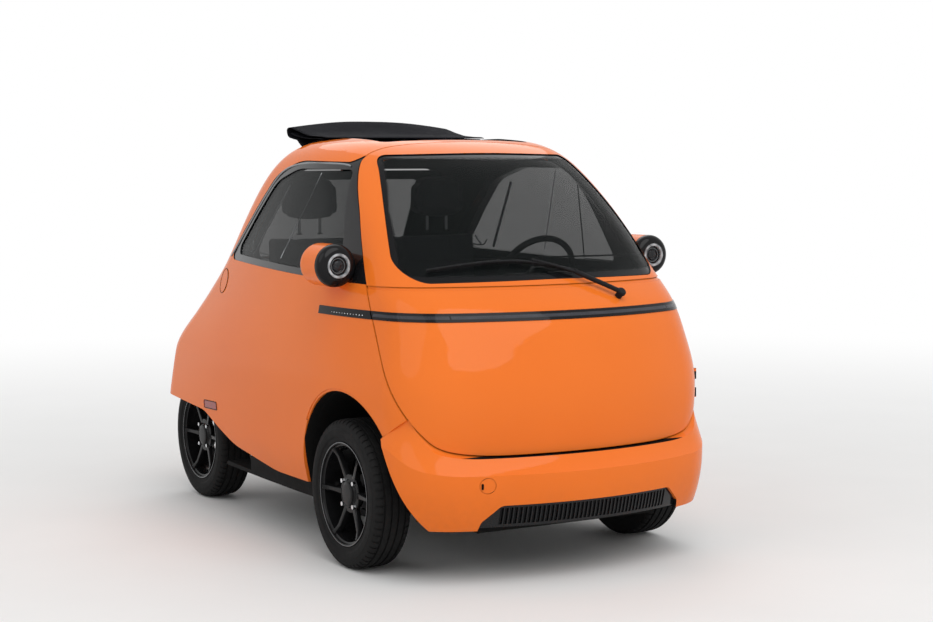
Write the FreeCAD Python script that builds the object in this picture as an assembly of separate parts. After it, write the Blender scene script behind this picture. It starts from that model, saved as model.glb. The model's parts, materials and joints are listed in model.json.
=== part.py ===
import FreeCAD
import Part
import math
import os

os.makedirs("parts", exist_ok=True)
V = FreeCAD.Vector

# Frame: +X is the car's left, -Y its front, +Z up, millimetres.
# The origin is on the ground at the middle of the car's length.

# Thicknesses and gaps
WALL = 40.0
GLASS = 5.0
GAP = 6.0
FIT = 0.3
FRAME_DEPTH = 3.0

# Wheels
WHEELBASE = 1567.0
FRONT_AXLE = -640.0
REAR_AXLE = FRONT_AXLE + WHEELBASE
TYRE_RADIUS = 260.0
TYRE_WIDTH = 145.0
RIM_RADIUS = 174.0
LIP_RADIUS = 182.0
SHOULDER_CHAMFER = 10.0
FRONT_FACE = 645.0
REAR_FACE = 541.0
FRONT_HUB = FRONT_FACE - TYRE_WIDTH / 2
REAR_HUB = REAR_FACE - TYRE_WIDTH / 2
SPOKES = 6
STUB_RADIUS = 20.0
PIN_RADIUS = 12.0
PIN_OFFSET = 35.0
KINGPIN = FRONT_HUB - PIN_OFFSET
KNUCKLE_HALF = 18.0
REAR_WELL = 284.0
STUB_END = 20.0

# Body outline at each height: how far it reaches to the front, the rear and
# the side, where it is widest, then the turn (degrees) of the nose arc, the
# turn of the side arc and the corner radius, for the front and for the rear.
BODY = [
    #  z, front, rear, half, widest, nose, side, corner, tail, side, corner
    (190, -1190, 1284, 628, -300, 22, 8, 250, 16, 4, 200),
    (310, -1190, 1298, 640, -350, 22, 8, 250, 16, 4, 200),
    (430, -1193, 1302, 653, -400, 22, 8, 250, 16, 4, 205),
    (530, -1206, 1290, 659, -425, 22, 8, 255, 16, 5, 215),
    (650, -1203, 1245, 665, -450, 22, 9, 260, 16, 6, 230),
    (780, -1172, 1124, 651, -450, 22, 11, 260, 18, 8, 250),
    (900, -1124, 1004, 628, -450, 22, 12, 260, 20, 9, 280),
    (1000, -1018, 875, 612, -420, 22, 12, 250, 22, 9, 280),
    (1120, -910, 768, 586, -360, 22, 12, 250, 22, 9, 280),
    (1240, -793, 674, 555, -300, 22, 12, 250, 24, 9, 280),
    (1350, -665, 545, 522, -200, 22, 12, 250, 24, 9, 260),
    (1430, -543, 416, 478, -100, 22, 12, 220, 24, 9, 240),
    (1480, -389, 294, 396, -80, 22, 12, 180, 24, 9, 200),
    (1501, -235, 179, 291, -80, 22, 12, 120, 24, 9, 120),
]
# The tail's upright lower face, which meets the sloping back in a crease
TAIL = [
    #  z, front, rear, half, widest, nose, side, corner, tail, side, corner
    (180, -1400, 1240, 644, -300, 22, 8, 250, 16, 4, 200),
    (460, -1400, 1262, 672, -300, 22, 8, 250, 16, 5, 205),
    (740, -1400, 1197, 676, -300, 22, 8, 250, 17, 7, 225),
    (1020, -1400, 1136, 668, -300, 22, 8, 250, 17, 7, 230),
    (1300, -1400, 1080, 660, -300, 22, 8, 250, 17, 7, 230),
    (1580, -1400, 1020, 650, -300, 22, 8, 250, 17, 7, 230),
]
# The bumper's upright face, and the shoulder that slopes from its crease up to the door
BUMPER_FACE = [
    #  z, front, rear, half, widest, nose, side, corner, tail, side, corner
    (194, -1224, 900, 648, -500, 22, 9, 270, 16, 4, 200),
    (270, -1246, 900, 660, -500, 22, 9, 270, 16, 4, 200),
    (378, -1256, 900, 668, -500, 22, 9, 275, 16, 4, 200),
    (480, -1255, 900, 668, -480, 22, 9, 290, 16, 4, 200),
    (600, -1252, 900, 668, -460, 22, 9, 300, 16, 4, 200),
]
SHOULDER = [
    #  z, front, rear, half, widest, nose, side, corner, tail, side, corner
    (180, -1360, 900, 760, -500, 22, 9, 300, 16, 4, 200),
    (378, -1257, 900, 676, -490, 22, 9, 268, 16, 4, 200),
    (437, -1210, 900, 676, -480, 22, 9, 238, 16, 4, 200),
    (500, -1206, 900, 660, -460, 22, 9, 252, 16, 4, 200),
    (600, -1206, 900, 664, -450, 22, 9, 259, 16, 4, 200),
]

# Side-view outlines (y, z, corner radius)
DOOR_SEAM = [
    (-1500, 437, 0),
    (-1103, 437, 110),
    (-975, 625, 420),
    (-752, 952, 400),
    (-566, 1235, 700),
    (-412, 1418, 70),
    (-385, 1700, 0),
    (-1500, 1700, 0),
]
LOWER_EDGE = [
    (-1500, 258, 0),
    (-60, 258, 900),
    (330, 305, 500),
    (640, 408, 300),
    (1500, 440, 0),
    (1500, 1700, 0),
    (-1500, 1700, 0),
]
WINDOW = [
    (-775, 988, 0),
    (-430, 1500, 0),
    (-401, 1405, 45),
    (-20, 1413, 500),
    (185, 1362, 250),
    (345, 1235, 300),
    (585, 1022, 30),
    (-200, 1000, 4000),
]
SIDE_GLASS = [
    (-566, 1022, 25),
    (-424, 1378, 40),
    (-30, 1383, 400),
    (170, 1335, 230),
    (320, 1212, 300),
    (500, 1046, 25),
    (-200, 1024, 4000),
]
# Front-view outline (x, z, corner radius)
SCREEN = [
    (-541, 996, 75),
    (-481, 1240, 1500),
    (-398, 1430, 55),
    (0, 1437, 6000),
    (398, 1430, 55),
    (481, 1240, 1500),
    (541, 996, 75),
    (0, 1003, 6000),
]
# Rear-view outlines (x, z, corner radius)
TAILGATE = [
    (-400, 700, 60),
    (-400, 1010, 900),
    (-345, 1372, 60),
    (345, 1372, 60),
    (400, 1010, 900),
    (400, 700, 60),
]
REAR_GLASS = [
    (-352, 1010, 50),
    (-312, 1335, 50),
    (312, 1335, 50),
    (352, 1010, 50),
]
# Roof opening and roof panel, from above (x, y, corner radius)
ROOF_OPENING = [
    (-318, -343, 35),
    (318, -343, 35),
    (318, 205, 35),
    (-318, 205, 35),
]
ROOF_HALF = 352.0

# Folded soft top in side view
SOFT_SIDE = [
    (48, 1440, 0),
    (52, 1498, 6),
    (212, 1514, 200),
    (386, 1577, 16),
    (412, 1557, 18),
    (396, 1526, 22),
    (300, 1508, 80),
    (215, 1440, 0),
]
SOFT_HALF = 355.0

# Bumper's area in side view, and the side marker's outline
BUMPER_SEAM = [
    (-1500, 100, 0),
    (-1500, 560, 0),
    (-1016, 560, 0),
    (-915, 492, 0),
    (-760, 380, 0),
    (-760, 100, 0),
]
MARKER = [
    (488, 424, 6),
    (632, 419, 6),
    (640, 449, 6),
    (496, 454, 6),
]

# Front wheel arch in side view
ARCH_CENTRE = (-650.0, 310.0)
ARCH_RADIUS = 311.0
ARCH_FOOT = -1098.0

# Width and depth of the rolled lip round the arch
LIP_WIDTH = 8.0
LIP_DEPTH = 3.0

# Mouth of the bumper in front view (x, z, corner radius), its ribs and the towing cover
GRILLE = [
    (-414, 150, 0),
    (-398, 224, 26),
    (-338, 279, 34),
    (338, 279, 34),
    (398, 224, 26),
    (414, 150, 0),
]
GRILLE_FOOT = 202.0
RIB_PITCH = 16.0
RIB_WIDTH = 5.0
TOW_COVER = (-386.0, 348.0)
TOW_RADIUS = 25.0

# Light strip around the nose
STRIP_LOW = 876.0
STRIP_HIGH = 904.0
STRIP_BACK = -448.0
STRIP_DEPTH = 12.0

# Ledge where the screen's frame steps back to the cowl
LEDGE_LOW = 975.0
LEDGE_HIGH = 986.0
LEDGE_DEPTH = 4.0

# Lamp and mirror pods
POD_CENTRE = (660.0, -667.0, 1052.0)
POD_RADIUS = 74.0
POD_LENGTH = 182.0
POD_NOSE = 28.0
POD_TAIL = 42.0
LAMP_RADIUS = 42.5
LAMP_DEPTH = 24.0
MIRROR_RADIUS = 50.0
MIRROR_DEPTH = 14.0

# Front door hinge (vertical) and tailgate hinge (across the car)
DOOR_HINGE = (606.0, -990.0)
DOOR_PIN = 4.5
DOOR_BARREL = 9.0
DOOR_BARREL_LOW = (552.0, 586.0)
DOOR_BARREL_HIGH = (618.0, 656.0)
LID_HINGE = (506.0, 1376.0)
LID_PIN = 4.0
LID_BARREL = 8.0
LID_SPAN = 62.0

# Floor, seats, headrests and steering wheel
PAN_LOW = 170.0
PAN_HIGH = 205.0
SKIN = 8.0
WELL_WALL = 362.0
REAR_WELL_WALL = 380.0
REAR_WELL_FOOT = 330.0
SILL_LOW = 192.0
SILL_HIGH = 262.0
BOOT_FRONT = 540.0
BOOT_LOW = 560.0
BOOT_HIGH = 585.0
SEAT_BOX = (20.0, 420.0)
SEAT_HALF = 465.0
BOX_WALL = 15.0
SEAT_LOW = 420.0
SEAT_TOP = 1120.0
CUSHION = (-90.0, 330.0)
CUSHION_TOP = 560.0
HEADREST_X = 290.0
HEADREST_Y = 294.0
HEADREST_LOW = 1182.0
WHEEL_HUB = V(290, -424, 972)
WHEEL_TILT = 25.0
WHEEL_AXIS = V(0, math.cos(math.radians(WHEEL_TILT)), math.sin(math.radians(WHEEL_TILT)))
WHEEL_RING = 160.0


def unit(v):
    return v * (1.0 / v.Length)


def rounded(points):
    """Edges of a polygon (u, v, radius) with its corners rounded."""
    n = len(points)
    runs = []
    for i in range(n):
        p = V(points[i][0], points[i][1], 0)
        a = unit(V(*points[i - 1][:2], 0) - p)
        b = unit(V(*points[(i + 1) % n][:2], 0) - p)
        r = points[i][2]
        if r == 0:
            runs.append((p, None, p))
            continue
        half = a.getAngle(b) / 2
        t = r / math.tan(half)
        middle = p + unit(a + b) * (r / math.sin(half) - r)
        runs.append((p + a * t, middle, p + b * t))
    edges = []
    for i in range(n):
        start, middle, end = runs[i]
        if middle is not None:
            edges.append(Part.Arc(start, middle, end).toShape())
        following = runs[(i + 1) % n][0]
        if (following - end).Length > 1e-6:
            edges.append(Part.makeLine(end, following))
    return edges


def prism(points, axis, low, high):
    """Rounded polygon pushed along an axis: x takes (y, z), y takes (x, z)."""
    face = Part.Face(Part.Wire(rounded(points)))
    return push(face, axis, low, high)


def push(face, axis, low, high):
    face = face.copy()
    if axis == "x":
        turn = FreeCAD.Placement(V(low, 0, 0), FreeCAD.Rotation(V(0, 1, 0), V(0, 0, 1), V(1, 0, 0), "ZXY"))
        face.Placement = turn
        return face.extrude(V(high - low, 0, 0))
    if axis == "y":
        face.rotate(V(0, 0, 0), V(1, 0, 0), 90)
        face.translate(V(0, low, 0))
        return face.extrude(V(0, high - low, 0))
    face.translate(V(0, 0, low))
    return face.extrude(V(0, 0, high - low))


def box(x0, x1, y0, y1, z0, z1):
    return Part.makeBox(x1 - x0, y1 - y0, z1 - z0, V(x0, y0, z0))


def rod(start, end, radius):
    return Part.makeCylinder(radius, (end - start).Length, start, end - start)


def spun(section, origin, way):
    """A section (along, radius, corner) spun about a line from an origin."""
    face = Part.Face(Part.Wire(rounded(section)))
    solid = face.revolve(V(0, 0, 0), V(1, 0, 0), 360)
    solid.Placement = FreeCAD.Placement(origin, FreeCAD.Rotation(V(1, 0, 0), way))
    return solid


def quarter(half, length, nose, side, corner):
    """Three tangent arcs from the nose (0, 0) to the side (half, length)."""
    a = math.radians(nose)
    g = math.radians(side)
    m = ((math.sin(a), 1 - math.cos(g)), (1 - math.cos(a), math.sin(g)))
    b0 = half - corner * (math.cos(g) - math.sin(a))
    b1 = length - corner * (math.cos(a) - math.sin(g))
    det = m[0][0] * m[1][1] - m[0][1] * m[1][0]
    big = (b0 * m[1][1] - m[0][1] * b1) / det
    flat = (m[0][0] * b1 - m[1][0] * b0) / det
    points = [V(0, 0, 0)]
    heading = 0.0
    for radius, turn in ((big, a), (corner, math.pi / 2 - a - g), (flat, g)):
        p = points[-1]
        centre = V(p.x - radius * math.sin(heading), p.y + radius * math.cos(heading), 0)
        for part in (0.5, 1.0):
            t = heading + turn * part
            points.append(V(centre.x + radius * math.sin(t), centre.y - radius * math.cos(t), 0))
        heading += turn
    return points


def outline(row, inset=0.0, drop=0.0):
    """One closed outline of ten arcs; inset moves it in and drop lowers it."""
    z, front, rear, half, widest, fa, fs, fc, ra, rs, rc = row
    f = quarter(half - inset, widest - front - inset, fa, fs, fc - inset)
    r = quarter(half - inset, rear - widest - inset, ra, rs, rc - inset)
    f = [V(p.x, front + inset + p.y, z - drop) for p in f]
    r = [V(p.x, rear - inset - p.y, z - drop) for p in r]
    flip = [V(-p.x, p.y, p.z) for p in f]
    pilf = [V(-p.x, p.y, p.z) for p in r]
    arcs = [
        (flip[2], f[0], f[2]),
        (f[2], f[3], f[4]),
        (f[4], f[5], f[6]),
        (r[6], r[5], r[4]),
        (r[4], r[3], r[2]),
        (r[2], r[0], pilf[2]),
        (pilf[2], pilf[3], pilf[4]),
        (pilf[4], pilf[5], pilf[6]),
        (flip[6], flip[5], flip[4]),
        (flip[4], flip[3], flip[2]),
    ]
    return Part.Wire([Part.Arc(*a).toShape() for a in arcs])


def slope(rows, i):
    """How much of the wall's direction is level and how much is up, at a row."""
    low = rows[max(i - 1, 0)]
    high = rows[min(i + 1, len(rows) - 1)]
    rise = high[0] - low[0]
    run = ((low[3] - high[3]) + (high[1] - low[1]) + (low[2] - high[2])) / 3.0
    if high[0] < 830:
        run = 0.0
    size = math.hypot(rise, run)
    return rise / size, run / size


HULLS = {}


def hull(rows, inset):
    """Solid inside a surface of outlines, moved in by a depth."""
    key = (rows[0], inset)
    if key not in HULLS:
        wires = []
        for i, row in enumerate(rows):
            level, up = slope(rows, i)
            wires.append(outline(row, inset * level, inset * up))
        HULLS[key] = Part.makeLoft(wires, True, False)
    return HULLS[key]


def body(inset):
    """The whole body, tail included, moved in by a depth."""
    if inset not in HULLS:
        HULLS[inset] = hull(BODY, inset).common(hull(TAIL, inset))
    return HULLS[inset]


def layer(region, near, far, shape=None):
    """What lies in a region between two depths of the front's or the whole body's surface."""
    if shape == "tail":
        return region.common(body(near)).cut(body(far))
    return region.common(hull(BODY, near)).cut(hull(BODY, far))


def grown(points, by):
    """The area of a rounded polygon grown (or shrunk) all round."""
    face = Part.Face(Part.Wire(rounded(points)))
    if by == 0:
        return face
    return face.makeOffset2D(by, 0, False, False, False)


def mirror(shape):
    return shape.mirror(V(0, 0, 0), V(1, 0, 0))


def solids(shape):
    """The largest solid of a result, cleaned of leftover slivers."""
    return max(shape.Solids, key=lambda s: s.Volume)


def save(name, shape):
    shape = solids(shape)
    if not shape.isValid():
        print("not valid:", name)
    shape.exportStep(os.path.join("parts", name + ".step"))
    print("%-22s %9.0f cm3" % (name, shape.Volume / 1000))


def pair(name, shape):
    """A right piece and its mirrored left twin."""
    shape = solids(shape)
    save(name + "_right", shape)
    save(name + "_left", mirror(shape))


# Areas that divide the skin

def door_area(by=0.0):
    return push(grown(DOOR_SEAM, by), "x", -900, 900)


def arch(grow=0.0):
    cy, cz = ARCH_CENTRE
    r = ARCH_RADIUS + grow
    disc = Part.makeCylinder(r, 1800, V(-900, cy, cz), V(1, 0, 0))
    a = math.radians(150)
    toe = (cy + r * math.cos(a), cz + r * math.sin(a), 0)
    front = ARCH_FOOT - grow
    foot = [(cy + r, 100, 0), (cy + r, cz, 0), (cy, cz + 50, 0), toe, (front, 150, 0), (front, 100, 0)]
    return disc.fuse(prism(foot, "x", -900, 900))


def bumper_area():
    """Everything ahead of the arch and under the fender's lower seam."""
    return prism(BUMPER_SEAM, "x", -900, 900)


def roof_area():
    return box(-ROOF_HALF, ROOF_HALF, -500, 700, TAILGATE[2][1] + GAP, 1600)


def rear_area():
    """The panel below the tailgate."""
    half = -TAILGATE[0][0] + GAP
    return box(-half, half, 0, 1300, 100, TAILGATE[0][1])


def tailgate_area(by):
    return push(grown(TAILGATE, by), "y", 150, 1300)


def strip_slab():
    return box(-800, 800, -1300, STRIP_BACK, STRIP_LOW, STRIP_HIGH)


def rear_strip_slab():
    return box(-330, 330, 700, 1300, STRIP_LOW, STRIP_HIGH)


def marker_area():
    """Outline of the small side marker ahead of the rear wheel."""
    return prism(MARKER, "x", -900, 0)


def tyre_room(side):
    """Space that the rear tyre needs beside the body's wall."""
    return drum(REAR_WELL, (REAR_AXLE, TYRE_RADIUS), side, REAR_WELL_WALL, REAR_FACE + 8)


def drum(radius, centre, side, near, far):
    return Part.makeCylinder(radius, far - near, V(side * near, centre[0], centre[1]), V(side, 0, 0))


# Skin panels

def make_side():
    """Right side: fender, sill, window surround, roof rail and rear quarter."""
    region = prism(LOWER_EDGE, "x", -900, 0)
    region = region.cut([door_area(GAP), arch(), bumper_area(), prism(WINDOW, "x", -900, 0), roof_area(),
                         rear_area(), tailgate_area(GAP), tyre_room(-1)])
    panel = layer(region, 0, WALL, "tail")
    lip = arch(LIP_WIDTH).cut(box(-900, 900, -1500, 0, 0, 492)).common(box(-900, 0, -1500, 0, 0, 900))
    groove = strip_slab().common(box(-800, 0, -1300, 0, 0, 1000)).cut(hull(BODY, STRIP_DEPTH))
    return panel.cut([groove, lip.cut(hull(BODY, LIP_DEPTH)), marker_area().cut(hull(BODY, 5))])


def upright(radius, span):
    """Vertical cylinder on the door's hinge line."""
    return rod(V(*DOOR_HINGE, span[0]), V(*DOOR_HINGE, span[1]), radius)


def across(radius, low, high):
    """Cylinder along the tailgate's hinge line."""
    return rod(V(low, *LID_HINGE), V(high, *LID_HINGE), radius)


def with_door_hinge(side):
    """The left side panel carries the lower barrel of the door's hinge."""
    return side.fuse(upright(DOOR_BARREL, DOOR_BARREL_LOW)).cut(upright(DOOR_PIN, (500, 700)))


def make_roof():
    opening = Part.Face(Part.Wire(rounded(ROOF_OPENING)))
    region = roof_area().cut([door_area(GAP), tailgate_area(GAP), push(opening, "z", 1300, 1600)])
    roof = layer(region, 0, WALL)
    roof = roof.cut([across(LID_BARREL + 5, 20, LID_SPAN + 5), across(LID_BARREL + 5, -LID_SPAN - 5, -20)])
    return roof.fuse(across(LID_BARREL, -20, 20)).cut(across(LID_PIN, -100, 100))


def make_rear():
    region = rear_area().common(prism(LOWER_EDGE, "x", -900, 900)).cut(tailgate_area(GAP))
    return layer(region, 0, WALL, "tail")


def make_tailgate():
    lid = layer(tailgate_area(0).cut(prism(REAR_GLASS, "y", 100, 1300)), 0, WALL, "tail")
    lid = lid.cut([rear_strip_slab().cut(hull(BODY, STRIP_DEPTH)), across(LID_BARREL + 5, -26, 26)])
    lid = lid.fuse([across(LID_BARREL, 26, LID_SPAN), across(LID_BARREL, -LID_SPAN, -26)])
    return lid.cut(across(LID_PIN + 0.1, -100, 100))


def make_door():
    door = layer(door_area().cut(prism(SCREEN, "y", -1300, -100)), 0, WALL)
    ledge = box(-900, 900, -1300, -500, LEDGE_LOW, LEDGE_HIGH).cut(hull(BODY, LEDGE_DEPTH))
    door = door.cut([strip_slab().cut(hull(BODY, STRIP_DEPTH)), ledge])
    door = door.fuse(upright(DOOR_BARREL, DOOR_BARREL_HIGH))
    return door.cut(upright(DOOR_PIN + 0.1, (500, 700)))


def make_bumper():
    """Upright face below a crease, and a shoulder that runs flush into door and fender."""
    region = bumper_area().cut([door_area(GAP), arch(), grille_area()])
    shell = region.common(hull(BUMPER_FACE, 0)).common(hull(SHOULDER, 0)).cut(hull(BODY, WALL))
    x, z = TOW_COVER
    ends = V(x, -1400, z), V(x, -1000, z)
    ring = rod(*ends, TOW_RADIUS + 1.5).cut(rod(*ends, TOW_RADIUS))
    return shell.cut(ring.cut(hull(BUMPER_FACE, 3)))


def grille_area():
    return prism(GRILLE, "y", -1400, -1000)


def make_grille():
    """Upright ribs between an upper and a lower bar, set back in the bumper's mouth."""
    mouth = prism(GRILLE, "y", -1300, -1000).common(box(-800, 800, -1300, -900, GRILLE_FOOT, 400))
    top = GRILLE[2][1]
    low = box(-800, 800, -1300, -900, GRILLE_FOOT, GRILLE_FOOT + 10)
    high = box(-800, 800, -1300, -900, top - 10, top)
    ribs = []
    count = int(GRILLE[3][0] * 2 / RIB_PITCH)
    for i in range(count + 1):
        x = (i - count / 2) * RIB_PITCH
        ribs.append(box(x - RIB_WIDTH / 2, x + RIB_WIDTH / 2, -1300, -900, GRILLE_FOOT, top))
    ends = box(-800, 800, -1300, -900, GRILLE_FOOT, 400).cut(
        box(GRILLE[2][0], GRILLE[3][0], -1300, -900, GRILLE_FOOT, 400))
    bars = low.fuse([high, ends] + ribs).common(mouth)
    return bars.common(hull(BUMPER_FACE, 14)).cut(hull(BUMPER_FACE, 28))


# Glass, lamps and trim

def make_window_frame():
    region = prism(WINDOW, "x", -900, 0).cut([door_area(GAP), roof_area(), prism(SIDE_GLASS, "x", -900, 0)])
    return layer(region, FRAME_DEPTH, WALL)


def make_side_glass():
    return layer(prism(SIDE_GLASS, "x", -900, 0), 8, 8 + GLASS)


def make_screen():
    return layer(prism(SCREEN, "y", -1300, -100), 4, 4 + GLASS)


def make_rear_glass():
    return layer(prism(REAR_GLASS, "y", 100, 1300), 4, 4 + GLASS)


def make_door_strip():
    return layer(strip_slab().common(door_area()), -2, STRIP_DEPTH)


def make_fender_strip():
    region = strip_slab().cut(door_area(GAP)).common(box(-900, 0, -1300, 1300, 0, 2000))
    return layer(region, -2, STRIP_DEPTH)


def make_flap():
    """Round lid of the charging socket on the right rear quarter."""
    disc = Part.makeCylinder(48, 300, V(-700, 602, 932), V(1, 0, 0))
    return layer(disc, -1.5, 0)


def make_pod():
    """Bullet-shaped housing of lamp and mirror, on a short arm."""
    seat = LAMP_DEPTH
    section = [(0, 0, 0), (0, POD_RADIUS, POD_NOSE), (POD_LENGTH, POD_RADIUS, POD_TAIL), (POD_LENGTH, 0, 0)]
    shell = spun(section, pod_point(0), V(0, 1, 0))
    lamp_hole = rod(pod_point(-2), pod_point(seat), LAMP_RADIUS + FIT)
    mirror_seat = pod_point(POD_LENGTH - MIRROR_DEPTH)
    mirror_hole = rod(mirror_seat, pod_point(POD_LENGTH + 2), MIRROR_RADIUS + FIT)
    shell = shell.cut([lamp_hole, mirror_hole, hull(BODY, -FIT)])
    foot = pod_point(60)
    arm = rod(V(foot.x + 40, foot.y, foot.z - 20), V(foot.x + 160, foot.y, foot.z - 32), 20)
    return shell.fuse(arm.cut([hull(BODY, FRAME_DEPTH - FIT), lamp_hole, mirror_hole]))


def pod_point(along):
    return V(-POD_CENTRE[0], POD_CENTRE[1] + along, POD_CENTRE[2])


def make_lamp():
    """Lens in the middle of a raised light ring."""
    section = [(5, 0, 0), (5, 31, 0), (-1, 33.5, 0), (-1, LAMP_RADIUS - 2, 1.5), (3, LAMP_RADIUS, 1.5),
               (LAMP_DEPTH, LAMP_RADIUS, 0), (LAMP_DEPTH, 0, 0)]
    return spun(section, pod_point(0), V(0, 1, 0))


def make_mirror():
    depth = POD_LENGTH - MIRROR_DEPTH
    return rod(pod_point(depth), pod_point(depth + 4), MIRROR_RADIUS)


def make_wiper():
    """Arm from its pivot on the cowl, with the bowed blade over the glass."""
    pivot = rod(V(212, -1035, 905), V(219, -1088, 956), 14)
    arm = rod(V(219, -1082, 952), V(20, -995, 1042), 7)
    bow = [V(-449, -899, 1040), V(-323, -933, 1058), V(-78, -971, 1066), V(82, -1007, 1029)]
    blade = [rod(bow[i], bow[i + 1], 6) for i in range(len(bow) - 1)]
    knots = [Part.makeSphere(6, p) for p in bow[1:-1]]
    return pivot.fuse([arm] + blade + knots).cut(hull(BODY, -FIT))


def make_softtop():
    """Fabric roof folded back in a bowed stack behind the opening."""
    side = prism(SOFT_SIDE, "x", -SOFT_HALF, SOFT_HALF)
    half = [(SOFT_HALF, 1440, 0), (SOFT_HALF, 1546, 14), (200, 1570, 600)]
    front = prism(half + [(-x, z, r) for x, z, r in reversed(half)], "y", 0, 600)
    return side.common(front).cut(hull(BODY, -FIT))


# Structure below and inside

def make_underbody():
    """Floor pan, sills, wheel wells, seat box and boot floor."""
    half = SEAT_HALF + BOX_WALL
    pan = box(-WELL_WALL, WELL_WALL, -1085, 640, PAN_LOW, PAN_HIGH)
    middle = box(-700, 700, -320, BOOT_FRONT + 20, SILL_LOW, PAN_HIGH)
    sills = [box(*sorted((side * 545, side * 700)), -320, 300, SILL_LOW, SILL_HIGH) for side in (-1, 1)]
    seat = box(-half, half, SEAT_BOX[0], SEAT_BOX[1], PAN_HIGH, SEAT_LOW).cut(
        box(-SEAT_HALF, SEAT_HALF, SEAT_BOX[0] + BOX_WALL, SEAT_BOX[1] - BOX_WALL, PAN_HIGH, SEAT_LOW - BOX_WALL))
    boot = box(-700, 700, BOOT_FRONT, 1300, BOOT_LOW, BOOT_HIGH)
    wall = box(SKIN - REAR_WELL_WALL, REAR_WELL_WALL - SKIN, BOOT_FRONT, BOOT_FRONT + 20, PAN_HIGH, BOOT_HIGH)
    wells = [front_well(-1), front_well(1), rear_well(-1), rear_well(1)]
    shape = middle.fuse(sills + [seat, boot, wall] + wells)
    shape = shape.cut([front_space(-1), front_space(1), rear_space(-1), rear_space(1), door_area(GAP)])
    return shape.common(body(WALL + FIT)).fuse(pan)


def front_space(side):
    low, high = sorted((side * WELL_WALL, side * 800))
    y, z = ARCH_CENTRE
    below = box(low, high, y - ARCH_RADIUS, y + ARCH_RADIUS, 0, z)
    return drum(ARCH_RADIUS, ARCH_CENTRE, side, WELL_WALL, 800).fuse(below)


def front_well(side):
    low, high = sorted((side * (WELL_WALL - SKIN), side * 800))
    y, z = ARCH_CENTRE
    r = ARCH_RADIUS + SKIN
    well = drum(r, ARCH_CENTRE, side, WELL_WALL - SKIN, 800)
    return well.fuse(box(low, high, y - r, y + r, PAN_HIGH, z))


def rear_space(side):
    low, high = sorted((side * REAR_WELL_WALL, side * 800))
    below = box(low, high, REAR_AXLE - REAR_WELL, REAR_AXLE + REAR_WELL, 0, TYRE_RADIUS)
    return drum(REAR_WELL, (REAR_AXLE, TYRE_RADIUS), side, REAR_WELL_WALL, 800).fuse(below)


def rear_well(side):
    inner = REAR_WELL_WALL - SKIN
    low, high = sorted((side * inner, side * 800))
    well = drum(REAR_WELL + SKIN, (REAR_AXLE, TYRE_RADIUS), side, inner, 800)
    return well.cut(box(low, high, 500, 1300, 0, REAR_WELL_FOOT))


def make_battery():
    return box(-440, 440, 60, 380, PAN_HIGH, PAN_HIGH + 150)


def make_motor():
    return box(-140, 140, 790, 1010, 190, 400)


def make_cushion():
    pad = box(-SEAT_HALF, SEAT_HALF, CUSHION[0], CUSHION[1], SEAT_LOW, CUSHION_TOP)
    return pad.makeFillet(28, [e for e in pad.Edges if e.Length > 100])


def make_seatback():
    foot = CUSHION_TOP + 3
    section = [(258, foot, 20), (306, SEAT_TOP, 30), (384, SEAT_TOP, 30), (420, SEAT_LOW, 8),
               (CUSHION[1] + 6, SEAT_LOW, 8), (CUSHION[1] + 4, foot, 4)]
    return prism(section, "x", -SEAT_HALF, SEAT_HALF)


def make_headrest(side):
    """Rounded pad on two posts that stand on the top of the seat's back."""
    pad = prism([(-120, 0, 45), (-112, 165, 60), (112, 165, 60), (120, 0, 45)], "y", 0, 84)
    pad = pad.makeFillet(16, [e for e in pad.Edges if abs(e.BoundBox.YLength) < 0.1])
    x = side * HEADREST_X
    y = HEADREST_Y + 42
    pad.translate(V(x, HEADREST_Y, HEADREST_LOW))
    posts = [rod(V(x + d, y, SEAT_TOP), V(x + d, y, HEADREST_LOW + 30), 6) for d in (-45, 45)]
    return pad.fuse(posts)


def make_column():
    """Post from the floor, with the steering shaft on the wheel's own axis."""
    end = WHEEL_HUB - WHEEL_AXIS * (12 + FIT)
    knee = WHEEL_HUB - WHEEL_AXIS * 330
    shape = rod(knee, end, 22).fuse(Part.makeSphere(32, knee))
    foot = V(WHEEL_HUB.x, -880, PAN_HIGH)
    plate = box(foot.x - 55, foot.x + 55, foot.y - 60, foot.y + 60, PAN_HIGH, PAN_HIGH + 20)
    shape = shape.fuse([rod(foot, knee, 32), plate])
    return shape.common(box(0, 600, -1100, 0, PAN_HIGH, 1300))


def make_steering_wheel():
    ring = Part.makeTorus(WHEEL_RING, 13, WHEEL_HUB, WHEEL_AXIS)
    hub = spun([(-12, 0, 0), (-12, 46, 4), (12, 40, 8), (12, 0, 0)], WHEEL_HUB, WHEEL_AXIS)
    up = unit(V(0, -WHEEL_AXIS.z, WHEEL_AXIS.y))
    spokes = []
    for angle in (0, 180, 270):
        a = math.radians(angle)
        way = V(1, 0, 0) * math.cos(a) + up * math.sin(a)
        spokes.append(rod(WHEEL_HUB + way * 30, WHEEL_HUB + way * WHEEL_RING, 9))
    return ring.fuse([hub] + spokes)


def make_door_bar():
    """Tube across the inside of the door, with its two end brackets."""
    bar = rod(V(-430, -900, 850), V(430, -900, 850), 28)
    ends = [box(x - 20, x + 20, -1300, -900, 830, 870) for x in (-400, 400)]
    return bar.fuse(ends).common(hull(BODY, WALL + FIT))


# Running gear

def tyre(hub, axle):
    w = TYRE_WIDTH / 2
    c = SHOULDER_CHAMFER
    section = [(-w, LIP_RADIUS + FIT, 0), (-w, TYRE_RADIUS - c, 0), (-w + c, TYRE_RADIUS, 0),
               (w - c, TYRE_RADIUS, 0), (w, TYRE_RADIUS - c, 0), (w, LIP_RADIUS + FIT, 0)]
    return spun(section, V(hub, axle, TYRE_RADIUS), V(1, 0, 0))


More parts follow.
